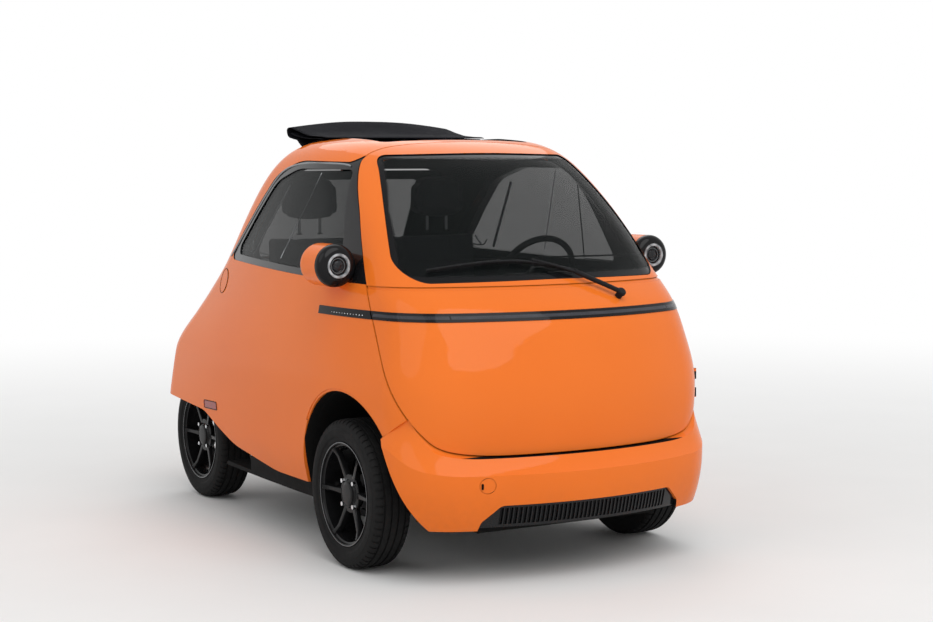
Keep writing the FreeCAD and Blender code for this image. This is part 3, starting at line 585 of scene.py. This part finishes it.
# Rims: dished barrel, six tapered spokes, hub with a blank cap and bright nuts
rim = {
    "barrel": [
        (0.0655, 0.182), (0.0668, 0.1812), (0.0668, 0.1768), (0.0655, 0.1745), (0.0605, 0.1738),
        (0.058, 0.1722), (0.056, 0.1668), (0.03, 0.1655), (-0.045, 0.1655), (-0.06, 0.17),
        (-0.0668, 0.1745), (-0.0668, 0.1812), (-0.0655, 0.182),
    ],
    "brightRing": [(0.0662, 0.1801), (0.0672, 0.1799), (0.0672, 0.1784), (0.0662, 0.1782)],
    "hub": [
        (0.0145, 0.0), (0.0145, 0.056), (0.028, 0.064), (0.039, 0.068), (0.0412, 0.066),
        (0.0425, 0.05), (0.048, 0.045), (0.0485, 0.0),
    ],
    "cap": [
        (0.048, 0.0), (0.048, 0.0425), (0.051, 0.042), (0.0526, 0.0395), (0.0536, 0.028), (0.054, 0.0),
    ],
    # radius, half width, front, back
    "spoke": [
        (0.044, 0.0185, 0.04, 0.019), (0.062, 0.015, 0.042, 0.023), (0.1, 0.0118, 0.0452, 0.027),
        (0.14, 0.0108, 0.0492, 0.031), (0.156, 0.0116, 0.056, 0.0335), (0.17, 0.014, 0.064, 0.036),
    ],
    "spokes": 6,
    "firstSpoke": 30,
    "frontShare": 0.72,
    "rounding": 0.0022,
    "nuts": 4,
    "firstNut": 45,
    "nutCircle": 0.0575,
    "nutAlong": 0.046,
    "nut": (0.0088, 0.008, 0.013),
    "valve": [(0.048, 0.03, 0.164), (0.056, 0.03, 0.1585), (0.062, 0.03, 0.155)],
    "valveRadius": 0.0032,
}


def addSpoke(bm, s, turn):
    old = set(bm.verts)
    share = s["frontShare"]
    radius, half, front, back = s["spoke"][0]
    corners = [(back, -half), (front, -half * share), (front, half * share), (back, half)]
    face = bm.faces.new([bm.verts.new((*corner, radius)) for corner in corners])
    for radius, half, front, back in s["spoke"][1:]:
        made = bmesh.ops.extrude_face_region(bm, geom=[face])["geom"]
        face = next(g for g in made if isinstance(g, bmesh.types.BMFace))
        ahead = max(v.co.x for v in face.verts)
        for v in face.verts:
            forward = v.co.x > ahead - 1e-6
            wide = half * (share if forward else 1.0)
            v.co = Vector((front if forward else back, math.copysign(wide, v.co.y), radius))
    fresh = [v for v in bm.verts if v not in old]
    ridges = [e for v in fresh for e in v.link_edges if abs(e.verts[0].co.z - e.verts[1].co.z) > 0.005]
    ridges = list(dict.fromkeys(ridges))
    bmesh.ops.bevel(bm, geom=ridges, offset=s["rounding"], segments=3, profile=0.5, affect="EDGES",
                    material=-1)
    fresh = [v for v in bm.verts if v not in old]
    bmesh.ops.transform(bm, matrix=turn, verts=fresh)


def makeRim(corner, s):
    centre = jointPlace["spin_" + corner]
    side = math.copysign(1, centre.x)
    place = Matrix.Translation(centre) @ Matrix.Diagonal((side, 1, 1, 1))
    bm = bmesh.new()
    spinProfile(bm, s["barrel"], 120, place)
    spinProfile(bm, s["brightRing"], 120, place, 1)
    spinProfile(bm, s["hub"], 72, place)
    spinProfile(bm, s["cap"], 72, place)
    for i in range(s["spokes"]):
        angle = math.radians(s["firstSpoke"] + i * 360 / s["spokes"])
        addSpoke(bm, s, place @ Matrix.Rotation(angle, 4, "X"))
    for i in range(s["nuts"]):
        angle = math.radians(s["firstNut"] + i * 360 / s["nuts"])
        around = Vector((0, math.sin(angle), math.cos(angle))) * s["nutCircle"]
        spot = Matrix.Translation(Vector((s["nutAlong"], 0, 0)) + around)
        addCone(bm, *s["nut"], 6, place @ spot @ quarterTurn("Y"), 2)
    addTube(bm, [place @ Vector(point) for point in s["valve"]], s["valveRadius"], 3)
    toMesh("rim" + corner.title().replace("_", ""), bm,
           [finishes["rim_black"], extras["satin"], extras["chrome"], extras["seal"]],
           "wheel_" + corner, ["rim_" + corner])


for corner in ("front_right", "front_left", "rear_right", "rear_left"):
    makeTyre(corner, tyre)
    makeRim(corner, rim)
print("wheels made")


# Lamp pods: the seam between the two tones, lamp with a light ring of small segments, and the mirror;
# profiles as (behind the pod's front, radius)
pod = {
    "centre": (0.66, -0.667, 1.052),
    "seam": [(0.0344, 0.073), (0.0348, 0.0742), (0.0362, 0.0742), (0.0366, 0.073)],
    "bezel": [
        (-0.0022, 0.0425), (-0.003, 0.0435), (-0.0026, 0.0455), (0.001, 0.047), (0.006, 0.044),
        (0.006, 0.0425),
    ],
    "ring": [
        (-0.0024, 0.034), (-0.0042, 0.035), (-0.0044, 0.0402), (-0.003, 0.0422), (0.004, 0.0425),
        (0.004, 0.0334),
    ],
    "dish": [(0.004, 0.0337), (0.011, 0.031), (0.016, 0.0225), (0.0175, 0.0)],
    "lens": [(-0.0005, 0.0336), (-0.0016, 0.03), (-0.0034, 0.019), (-0.0042, 0.0)],
    "eye": [(0.012, 0.019), (0.005, 0.017), (0.002, 0.01), (0.0012, 0.0)],
    "inner": [(0.007, 0.0235), (0.0052, 0.0245), (0.0052, 0.0262), (0.0075, 0.0272)],
    "segments": 30,
    "segmentSteps": 6,
    "slit": (0.0004, -0.0009),
    "mirror": [(0.172, 0.0), (0.172, 0.0492), (0.168, 0.0492), (0.168, 0.0)],
    "mirrorRim": [(0.172, 0.0457), (0.1742, 0.0464), (0.1746, 0.0496), (0.171, 0.0498)],
}


def makePod(side, word, s):
    x, y, z = s["centre"]
    place = Matrix.Translation((side * x, y, z)) @ quarterTurn("Z")
    bm = bmesh.new()
    spinProfile(bm, s["seam"], 120, place, 0)
    spinProfile(bm, s["bezel"], 96, place, 1)
    spinProfile(bm, s["dish"][::-1], 72, place, 1)
    spinProfile(bm, s["inner"], 72, place, 2)
    spinProfile(bm, s["eye"][::-1], 72, place, 3)
    looks = [extras["seam"], finishes["black_trim"], extras["satin"], extras["deepGlass"]]
    toMesh("lampFittings" + word.title(), bm, looks)
    bm = bmesh.new()
    steps = s["segments"] * s["segmentSteps"]
    spinProfile(bm, s["ring"], steps, place, 0)
    slits = []
    for face in bm.faces:
        middle = face.calc_center_median()
        turned = (math.atan2(middle.x - side * x, middle.z - z) + math.pi) / (2 * math.pi)
        if int(turned * steps) % s["segmentSteps"] == 0:
            slits.append(face)
    bmesh.ops.inset_individual(bm, faces=slits, thickness=s["slit"][0], depth=s["slit"][1])
    spinProfile(bm, s["lens"][::-1], 72, place, 1)
    toMesh("lamp" + word.title(), bm, [extras["ringLamp"], extras["lampGlass"]], "body",
           ["lamp_" + word])
    bm = bmesh.new()
    spinProfile(bm, s["mirror"], 96, place, 0)
    spinProfile(bm, s["mirrorRim"], 96, place, 1)
    toMesh("mirror" + word.title(), bm, [finishes["mirror_face"], extras["seal"]], "body",
           ["mirror_" + word])


for side, word in bothSides:
    makePod(side, word, pod)
print("pods made")


def edgeRing(nodeName, outward, spread=0.004):
    # The outer sharp edge of a CAD pane or lid, as one ring of points
    bm = bmesh.new()
    bm.from_mesh(cadNodes[nodeName].data)
    bmesh.ops.remove_doubles(bm, verts=bm.verts, dist=0.00002)
    sharp = dict.fromkeys(e for e in bm.edges if len(e.link_faces) == 2 and e.calc_face_angle(0) > 0.9)
    rings = []
    while sharp:
        ring = list(sharp.popitem()[0].verts)
        while True:
            ahead = [e for e in ring[-1].link_edges if e in sharp]
            if not ahead:
                break
            sharp.pop(ahead[0])
            ring.append(ahead[0].other_vert(ring[-1]))
        rings.append([v.co.copy() for v in ring])
    way = Vector(outward)
    rings = [ring for ring in rings if len(ring) > 12]
    best = max(rings, key=lambda ring: sum(p.dot(way) for p in ring) / len(ring))
    bm.free()
    spaced = [best[0]]
    for point in best[1:]:
        if (point - spaced[-1]).length > spread:
            spaced.append(point)
    return spaced


# Rubber and dark seals round the panes and markers, and painted seam shadow round the charge flap: node, outward
# way, radius, finish, body
seals = [
    ("windscreen", (0, -1, 0.6), 0.0034, "seal", "front_door"),
    ("rear_glass", (0, 1, 0.5), 0.0032, "seal", "tailgate"),
    ("side_glass_right", (-1, 0, 0), 0.0028, "seal", "body"),
    ("side_glass_left", (1, 0, 0), 0.0028, "seal", "body"),
    # the charge flap's ring is painted seam shadow
    ("charge_flap", (-1, 0, 0), 0.0011, "seam", "body"),
    ("side_marker_right", (-1, 0, 0), 0.0016, "seal", "body"),
    ("side_marker_left", (1, 0, 0), 0.0016, "seal", "body"),
]


def makeSeals(rows):
    for node, outward, radius, finish, body in rows:
        bm = bmesh.new()
        addTube(bm, edgeRing(node, outward), radius, sides=2, closed=True)
        name = "seal" + node.title().replace("_", "")
        toMesh(name, bm, extras[finish], body, sharp=60, merge=0.00001)


makeSeals(seals)
print("seals made")


# Side windows: bright line along the frame's top, slider's edge, inner strip and latch, as (y, z)
sideWindow = {
    "trim": [
        (-0.396, 1.39), (-0.372, 1.3975), (-0.24, 1.4015), (-0.02, 1.403), (0.12, 1.38),
        (0.205, 1.335), (0.345, 1.222), (0.47, 1.11), (0.56, 1.033),
    ],
    "slider": [(-0.228, 1.366), (-0.029, 1.05)],
    "latch": [(0.452, 1.078), (0.438, 1.062), (0.38, 1.056), (0.345, 1.058), (0.322, 1.08)],
    "handle": [(0.392, 1.098), (0.38, 1.072), (0.362, 1.056)],
    # path, its distance out of the skin, radius, material
    "tubes": [("slider", 0.0006, 0.0016, 1), ("latch", -0.022, 0.0028, 0), ("handle", -0.022, 0.004, 0)],
    "trimOut": 0.0012,
    "trimRadius": 0.0036,
    "strip": [(0.078, 1.324), (0.307, 1.051)],
    "stripOut": -0.012,
    "stripSize": (0.013, 0.006),
    "stripRounding": 0.002,
    "lines": (-0.0035, 0.0, 0.0035),
    "lineSize": (0.0012, 0.008),
}


def makeSideWindow(side, word, s):
    frameSkin = surfaceOf("window_frame_" + word, "side_panel_" + word)
    paneSkin = surfaceOf("side_glass_" + word)

    def onSkin(skin, y, z, out):
        place = hitOf(skin, (side * 1.5, y, z), (-side, 0, 0))[0]
        return place + Vector((side * out, 0, 0))

    bm = bmesh.new()
    addTube(bm, [onSkin(frameSkin, y, z, s["trimOut"]) for y, z in s["trim"]], s["trimRadius"])
    for key, out, radius, material in s["tubes"]:
        addTube(bm, [onSkin(paneSkin, y, z, out) for y, z in s[key]], radius, material)
    top, foot = (onSkin(paneSkin, y, z, s["stripOut"]) for y, z in s["strip"])
    along = foot - top
    turn = facing((side, 0, 0.2), (top + foot) / 2, along)
    wide, thick = s["stripSize"]
    addBlock(bm, (wide, along.length, thick), turn, s["stripRounding"], 1)
    wide, thick = s["lineSize"]
    for shift in s["lines"]:
        addBlock(bm, (wide, along.length, thick), turn @ Matrix.Translation((shift, 0, 0)), 0.0, 2)
    toMesh("windowTrim" + word.title(), bm, [extras["satin"], extras["greySeal"], extras["seal"]])


for side, word in bothSides:
    makeSideWindow(side, word, sideWindow)
print("window trim made")


# Wiper: stepped pivot, two-part arm, and a bowed blade with its rubber and clips
wiper = {
    "pivot": [(0.212, -1.04, 0.91), (0.219, -1.089, 0.957)],
    "pivotRadius": 0.0125,
    "capBack": 0.004,
    "cap": [(-0.006, 0.0), (-0.006, 0.016), (0.004, 0.016), (0.0075, 0.0125), (0.0085, 0.0)],
    "arm": [
        (0.219, -1.084, 0.954), (0.165, -1.065, 0.98), (0.11, -1.04, 1.006),
        (0.07, -1.023, 1.026),
    ],
    "armRadius": 0.0085,
    "rod": [
        (0.08, -1.027, 1.021), (0.02, -0.999, 1.043), (-0.04, -0.983, 1.06),
        (-0.078, -0.976, 1.069),
    ],
    "rodRadius": 0.0048,
    "blade": [
        (-0.449, -0.901, 1.041), (-0.323, -0.935, 1.059), (-0.2, -0.956, 1.068),
        (-0.078, -0.974, 1.065), (0.082, -1.008, 1.03),
    ],
    "bladeRadius": 0.0042,
    "rubberDrop": (0.0, 0.005, -0.006),
    "rubberRadius": 0.0028,
    "clips": 7,
    "clip": (0.012, 0.016, 0.01),
    "clipFace": (0, -0.7, 0.7),
}


def makeWiper(s):
    bm = bmesh.new()
    low, high = (Vector(p) for p in s["pivot"])
    addTube(bm, [low, high], s["pivotRadius"], sides=6)
    way = (high - low).normalized()
    spinProfile(bm, s["cap"], 40, Matrix.Translation(high - way * s["capBack"]) @ aimed(way, "X", "Z"))
    addTube(bm, s["arm"], s["armRadius"], sides=5)
    addTube(bm, s["rod"], s["rodRadius"], sides=4)
    addTube(bm, s["blade"], s["bladeRadius"], sides=4)
    drop = Vector(s["rubberDrop"])
    path = [Vector(p) for p in s["blade"]]
    addTube(bm, [p + drop for p in path], s["rubberRadius"], 1, sides=2)
    for i in range(s["clips"]):
        t = (i + 0.5) / s["clips"] * (len(path) - 1)
        spot = path[int(t)].lerp(path[int(t) + 1], t - int(t))
        along = (path[int(t) + 1] - path[int(t)]).normalized()
        addBlock(bm, s["clip"], facing(s["clipFace"], spot + drop * 0.4, along), 0.002)
    toMesh("wiperArm", bm, [finishes["cabin_black"], extras["seal"]], "front_door", ["wiper"],
           sharp=40)


makeWiper(wiper)
print("wiper made")


# Fender strips: a row of small lights with their recesses
fenderRow = {
    "from": -0.548,
    "to": -0.744,
    "height": 0.8865,
    "count": 12,
    "radius": 0.0022,
    "recess": (0.0044, 0.00352, 0.0012),
    "flatness": 0.7,
}


def makeFenderRow(side, word, s):
    skin = surfaceOf("fender_light_" + word)
    bm = bmesh.new()
    for i in range(s["count"]):
        y = s["from"] + (s["to"] - s["from"]) * i / (s["count"] - 1)
        place, normal = hitOf(skin, (side * 1.5, y, s["height"]), (-side, 0, 0))
        turn = facing(normal, place)
        addCone(bm, *s["recess"], 16, turn)
        made = bmesh.ops.create_icosphere(bm, subdivisions=2, radius=s["radius"],
                                          matrix=turn @ Matrix.Diagonal((1, 1, s["flatness"], 1)))
        markFaces(made["verts"], 1)
    toMesh("fenderLights" + word.title(), bm, [extras["seal"], extras["led"]], "body")


for side, word in bothSides:
    makeFenderRow(side, word, fenderRow)
print("fender lights made")


# Bumper: finer ribs between the grille's own, and painted shadow for the tow cover's finger notch
grille = {
    "pitch": 0.016,
    "count": 42,
    "rib": (0.0042, 0.011),
    "span": (0.2065, 0.2745),
    "sunk": 0.0075,
    "notch": (-0.4035, 0.346),
    "notchSize": (0.0075, 0.02, 0.0024),
}


def makeGrille(s):
    skin = surfaceOf("bumper_grille")
    bm = bmesh.new()
    wide, deep = s["rib"]
    for i in range(s["count"]):
        x = (i - (s["count"] - 1) / 2) * s["pitch"]
        foot, top = (hitOf(skin, (x, -2, z), (0, 1, 0))[0] for z in s["span"])
        middle = Vector((x, (top.y + foot.y) / 2 + s["sunk"], (top.z + foot.z) / 2))
        lean = Vector((0, top.y - foot.y, top.z - foot.z))
        addBlock(bm, (wide, deep, lean.length), Matrix.Translation(middle) @ aimed(lean, "Z", "Y"), 0.0012)
    toMesh("grilleRibs", bm, finishes["cabin_black"])
    bm = bmesh.new()
    x, z = s["notch"]
    place, normal = hitOf(surfaceOf("front_bumper"), (x, -2, z), (0, 1, 0))
    # a flat dark pad of painted shadow stands for the finger notch's recess
    addBlock(bm, s["notchSize"], facing(normal, place), 0.003, 0, 3)
    toMesh("towNotchShadow", bm, extras["seam"])


makeGrille(grille)
print("grille made")


# Motor: cooling ribs and a bolted cover on the block's open faces
motor = {
    "ribs": 9,
    "ribWidth": 0.006,
    "ribHigh": 0.007,
    "ribShare": 0.8,
    "cover": [(-0.001, 0.052), (0.004, 0.052), (0.006, 0.049), (0.006, 0.02), (0.009, 0.016), (0.009, 0.0)],
    "bolts": 6,
    "boltAt": (0.007, 0.042),
    "bolt": (0.0045, 0.0045, 0.005),
}


def makeMotor(s):
    lowest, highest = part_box("motor")
    middle, size = (lowest + highest) / 2, highest - lowest
    wide, high, share = s["ribWidth"], s["ribHigh"], s["ribShare"]
    bm = bmesh.new()
    for i in range(s["ribs"]):
        x = lowest.x + size.x * (i + 0.5) / s["ribs"]
        rear, under = (x, highest.y + high * 0.4, middle.z), (x, middle.y, lowest.z - high * 0.4)
        addBlock(bm, (wide, high, size.z * share), Matrix.Translation(rear), 0.0018)
        addBlock(bm, (wide, size.y * share, high), Matrix.Translation(under), 0.0018)
    along, circle = s["boltAt"]
    for side, face in ((-1, lowest.x), (1, highest.x)):
        turn = Matrix.Translation((face, middle.y, middle.z)) @ Matrix.Diagonal((side, 1, 1, 1))
        spinProfile(bm, s["cover"], 48, turn)
        for j in range(s["bolts"]):
            angle = math.radians(j * 360 / s["bolts"])
            spot = Matrix.Translation((along, math.cos(angle) * circle, math.sin(angle) * circle))
            addCone(bm, *s["bolt"], 6, turn @ spot @ quarterTurn("Y"))
    toMesh("motorRibs", bm, finishes["housing_grey"], "body")


makeMotor(motor)
print("motor made")


# Folded fabric roof: one sheet led back, round the end, down to the roof, forward and in again, as (y, z)
roofCloth = {
    "path": [
        (0.056, 1.499), (0.07, 1.5045), (0.09, 1.5065), (0.15, 1.511), (0.21, 1.5165),
        (0.27, 1.533), (0.33, 1.556), (0.374, 1.571), (0.396, 1.57), (0.407, 1.558),
        (0.405, 1.543), (0.39, 1.531), (0.35, 1.522), (0.315, 1.513), (0.285, 1.504),
        (0.262, 1.494), (0.245, 1.49), (0.22, 1.4905), (0.15, 1.4925), (0.095, 1.4935),
        (0.08, 1.4965), (0.095, 1.499), (0.15, 1.502), (0.22, 1.506), (0.28, 1.518),
        (0.34, 1.536), (0.37, 1.547),
    ],
    "pathSteps": 4,
    # heights between which the wall settles on the roof, and how far it stays above it
    "wall": (1.512, 1.49),
    "rest": 0.004,
    "half": 0.352,
    "across": 44,
    "flatten": 0.37,
    "base": 1.5,
    "wrinkle": 0.0022,
    "wrinkleScale": (5.0, 16.0, 9.0),
    "wrinkleRise": 40,
    "thickness": 0.0016,
}


def clamped(value):
    return min(1.0, max(0.0, value))


def makeRoofCloth(s):
    mesh = curveMesh([(0, y, z) for y, z in s["path"]], steps=s["pathSteps"])
    path = [v.co.copy() for v in mesh.vertices]
    bpy.data.meshes.remove(mesh)
    bm = bmesh.new()
    first = [bm.verts.new((-s["half"], p.y, p.z)) for p in path]
    row = [bm.edges.new((first[i], first[i + 1])) for i in range(len(first) - 1)]
    step = 2 * s["half"] / s["across"]
    for _ in range(s["across"]):
        made = bmesh.ops.extrude_edge_only(bm, edges=row)["geom"]
        moved = [g for g in made if isinstance(g, bmesh.types.BMVert)]
        bmesh.ops.translate(bm, vec=(step, 0, 0), verts=moved)
        row = [g for g in made if isinstance(g, bmesh.types.BMEdge) and g.is_boundary
               and all(v in moved for v in g.verts)]
    length = sum((path[i + 1] - path[i]).length for i in range(len(path) - 1))
    # Only the stretch from the rear turn to the front fold settles on the roof
    order = {(round(p.y, 5), round(p.z, 5)): i for i, p in enumerate(path)}
    turned = max(range(len(path)), key=lambda i: path[i].y)
    folded = min(range(turned, len(path)), key=lambda i: path[i].y)
    high, low = s["wall"]
    roofSkin = surfaceOf("roof_panel")
    for v in bm.verts:
        number = order[(round(v.co.y, 5), round(v.co.z, 5))]
        u = v.co.x / s["half"]
        height = next(p.z for p in path if p.y >= v.co.y - 1e-6) - s["base"]
        settled = clamped((high - v.co.z) / (high - low)) if turned < number < folded else 0.0
        v.co.z -= height * s["flatten"] * u * u
        under = roofSkin[0].ray_cast(Vector((v.co.x, v.co.y, 2)), Vector((0, 0, -1)))[0]
        if settled and under is not None:
            v.co.z += (under.z + s["rest"] - v.co.z) * settled
        ripple = noise.noise(v.co * Vector(s["wrinkleScale"]))
        v.co.z += ripple * s["wrinkle"] * clamped(height * s["wrinkleRise"])
    piece = toMesh("roofCloth", bm, finishes["canvas"], "body", ["soft_top"], sharp=80)
    wall = piece.modifiers.new("thickness", "SOLIDIFY")
    wall.thickness = s["thickness"]
    wall.offset = -1
    return length


clothLength = makeRoofCloth(roofCloth)
print("roof cloth made, cut length", round(clothLength, 3))


# Seat pads and headrests: cloth over foam, blown up a little, with sewn channels (axis, place)
benchSeams = [("x", 0.0), ("x", -0.345), ("x", 0.345), ("x", -0.115), ("x", 0.115)]
headrest = {"voxel": 0.006, "shrink": 0.007, "cap": 0.009, "fill": 0.8, "floor": 1.182}
seatPads = {
    "seatCushion": {
        "node": "seat_cushion", "voxel": 0.009, "shrink": 0.008, "cap": 0.014, "fill": 0.7,
        "seams": benchSeams + [("y", 0.235)],
    },
    "seatBack": {
        "node": "seat_back", "voxel": 0.01, "shrink": 0.007, "cap": 0.01, "fill": 0.7,
        "seams": benchSeams + [("z", 1.0), ("z", 0.68)],
    },
    "headrestRight": {**headrest, "node": "headrest_right", "seams": [("x", -0.382), ("x", -0.198)]},
    "headrestLeft": {**headrest, "node": "headrest_left", "seams": [("x", 0.198), ("x", 0.382)]},
}
padLook = {
    "seamDepth": 0.006,
    "seamWidth": 0.008,
    "pressure": 4,
    "frames": 20,
    "posts": (-0.045, 0.045),
    "postRadius": 0.0058,
    "postInside": 0.03,
    "collar": [(0.0, 0.0062), (0.0, 0.012), (0.005, 0.0112), (0.0065, 0.0062)],
}


def blowUp(piece, cap, look):
    # Cloth with pressure and no gravity, capped so that it stays near its start
    start = [v.co.copy() for v in piece.data.vertices]
    cloth = piece.modifiers.new("filling", "CLOTH")
    cloth.settings.use_pressure = True
    cloth.settings.uniform_pressure_force = look["pressure"]
    cloth.settings.effector_weights.gravity = 0
    cloth.point_cache.frame_start = 1
    cloth.point_cache.frame_end = look["frames"]
    for number in range(1, look["frames"] + 1):
        scene.frame_set(number)
    graph = bpy.context.evaluated_depsgraph_get()
    blown = bpy.data.meshes.new_from_object(piece.evaluated_get(graph))
    piece.modifiers.clear()
    for v, was, now in zip(piece.data.vertices, start, blown.vertices):
        move = now.co - was
        v.co = was + move * min(1.0, cap / max(move.length, 1e-9))
    bpy.data.meshes.remove(blown)
    scene.frame_set(1)


def pushIn(mesh, amount):
    # Moves each vertex in along its own normal; the normals are listed before any vertex moves
    for v, normal in zip(mesh.vertices, [v.normal.copy() for v in mesh.vertices]):
        v.co -= normal * amount(v.co)


def makePad(name, s, look):
    bm = bmesh.new()
    bm.from_mesh(cadNodes[s["node"]].data)
    bmesh.ops.remove_doubles(bm, verts=bm.verts, dist=0.00002)
    if "floor" in s:
        cut = bmesh.ops.bisect_plane(bm, geom=bm.verts[:] + bm.edges[:] + bm.faces[:], plane_no=(0, 0, 1),
                                     plane_co=(0, 0, s["floor"] + 0.0005), clear_inner=True)["geom_cut"]
        bmesh.ops.holes_fill(bm, edges=[g for g in cut if isinstance(g, bmesh.types.BMEdge)])
    bmesh.ops.recalc_face_normals(bm, faces=bm.faces)
    data = meshOf(name, bm)
    piece = linked(name, data)
    remesh = piece.modifiers.new("voxels", "REMESH")
    remesh.mode = "VOXEL"
    remesh.voxel_size = s["voxel"]
    remesh.use_smooth_shade = True
    graph = bpy.context.evaluated_depsgraph_get()
    piece.data = bpy.data.meshes.new_from_object(piece.evaluated_get(graph))
    piece.modifiers.clear()
    bpy.data.meshes.remove(data)
    pushIn(piece.data, lambda at: s["shrink"])
    blowUp(piece, s["cap"], look)

    def seamDip(place):
        dips = (math.exp(-((getattr(place, axis) - at) / look["seamWidth"]) ** 2) for axis, at in s["seams"])
        return look["seamDepth"] * min(sum(dips), 1.0)

    pushIn(piece.data, seamDip)
    lowest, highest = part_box(s["node"])
    for v in piece.data.vertices:
        v.co = [min(max(at, low), high) for at, low, high in zip(v.co, lowest, highest)]
    piece.data.materials.append(finishes["seat_cloth"])
    piece.data.shade_smooth()
    finer = piece.modifiers.new("finer", "SUBSURF")
    finer.levels = finer.render_levels = 1
    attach(piece, "body")
    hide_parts(s["node"])
    if "floor" in s:
        bm = bmesh.new()
        for shift in look["posts"]:
            x, y = (lowest.x + highest.x) / 2 + shift, (lowest.y + highest.y) / 2
            foot = (x, y, lowest.z)
            addTube(bm, [foot, (x, y, s["floor"] + look["postInside"])], look["postRadius"], sides=5)
            spinProfile(bm, look["collar"], 32, Matrix.Translation(foot) @ quarterTurn("Y", -1), 1)
        toMesh(name + "Posts", bm, [extras["satin"], extras["seal"]], "body")


for padName, settings in seatPads.items():
    makePad(padName, settings, padLook)
    print("pad made:", padName)


# Steering wheel: oval grip, three spokes and a plain round boss; the column keeps its own form
steering = {
    "ring": 0.16,
    "grip": 0.0128,
    "gripFlatness": 0.92,
    "gripSteps": 16,
    "tilt": 25.0,
    "centre": (0.29, -0.424, 0.972),
    "boss": [
        (-0.0125, 0.0), (-0.0125, 0.046), (0.004, 0.048), (0.012, 0.042), (0.0155, 0.03), (0.0165, 0.0),
    ],
    "bossRing": [(0.012, 0.0335), (0.0162, 0.033), (0.0166, 0.0318), (0.014, 0.0312)],
    "angles": (0, 180, 270),
    "spokeFrom": 0.04,
    "spoke": (0.03, 0.011),
    "spokeRounding": 0.0045,
}


def makeSteeringWheel(s):
    tilt = math.radians(s["tilt"])
    axis = Vector((0, math.cos(tilt), math.sin(tilt)))
    right = Vector((1, 0, 0))
    turn = Matrix((axis, right, axis.cross(right))).transposed().to_4x4()
    turn = Matrix.Translation(Vector(s["centre"])) @ turn
    bm = bmesh.new()
    angles = [math.radians(i * 360 / s["gripSteps"]) for i in range(s["gripSteps"])]
    high = s["grip"] * s["gripFlatness"]
    section = [(math.cos(a) * s["grip"], s["ring"] + math.sin(a) * high) for a in angles]
    spinProfile(bm, section, 96, turn, 0)
    spinProfile(bm, s["boss"], 64, turn, 1)
    spinProfile(bm, s["bossRing"], 64, turn, 2)
    wide, thick = s["spoke"]
    for angle in s["angles"]:
        way = Vector((0, math.cos(math.radians(angle)), -math.sin(math.radians(angle))))
        near, far = turn @ (way * s["spokeFrom"]), turn @ (way * s["ring"])
        along = far - near
        place = facing(axis, (near + far) / 2, along)
        addBlock(bm, (wide, along.length, thick), place, s["spokeRounding"], 1, 3)
    toMesh("steeringWheel", bm, [finishes["cabin_black"], finishes["black_trim"], extras["satin"]], "body",
           ["steering_wheel"], sharp=45)


makeSteeringWheel(steering)
print("steering wheel made")


# Pale studio: floor, soft lamps and a white surround that the camera and reflections see
studio = {
    "floor": (0.85, 0.85, 0.845),
    "floorDark": (0.81, 0.81, 0.805),
    # distances between which the floor turns to plain white for the camera
    "fade": (1.3, 8.5),
    "fill": 0.52,
    # place, aim, size, watts
    "lamps": [
        ((-0.6, -8.0, 9.0), (0, 0, 0.6), 11.0, 700),
        ((-7.0, -1.5, 5.5), (0, 0, 0.8), 6.0, 90),
        ((3.0, 6.0, 7.0), (0, 0, 0.8), 7.0, 160),
    ],
}


def makeStudio(s):
    bm = bmesh.new()
    bmesh.ops.create_grid(bm, x_segments=2, y_segments=2, size=60)
    data = meshOf("floor", bm)
    floor = linked("floor", data)
    m = Finish("floorPale", Roughness=0.9)
    m.feed("Base Color", m.tint(m.noise(2.0, 4.0), s["floor"], s["floorDark"]))
    reach = m.node("ShaderNodeVectorMath", {"operation": "LENGTH"}, {0: m.place}, "Value")
    white = m.node("ShaderNodeEmission", {}, {"Color": (1, 1, 1, 1), "Strength": 1.0})
    near, past = s["fade"]
    far = m.node("ShaderNodeMapRange", {"interpolation_type": "SMOOTHSTEP"},
                 {"Value": reach, "From Min": near, "From Max": past}, "Result") * m.whiteRays()
    mixed = m.node("ShaderNodeMixShader", {}, {0: far, 1: Sock(m, m.shader.outputs[0]), 2: white})
    m.tree.links.new(mixed.out, m.tree.nodes["Material Output"].inputs["Surface"])
    data.materials.append(m.material)
    scene.world = bpy.data.worlds.new("studio")
    world = Tree(scene.world)
    sky = world.tree.nodes["Background"]
    sky.inputs["Color"].default_value = (1, 1, 1, 1)
    level = world.between(world.whiteRays(), s["fill"], 1.0)
    world.tree.links.new(level.out, sky.inputs["Strength"])
    for place, aim, size, watts in s["lamps"]:
        data = bpy.data.lights.new("softLamp", "AREA")
        data.shape = "DISK"
        data.size = size
        data.energy = watts
        lamp = linked("softLamp", data)
        way = Vector(aim) - Vector(place)
        lamp.matrix_world = Matrix.Translation(Vector(place)) @ aimed(way, "-Z", "Y")


makeStudio(studio)
scene.view_settings.view_transform = "Standard"
print("studio made")
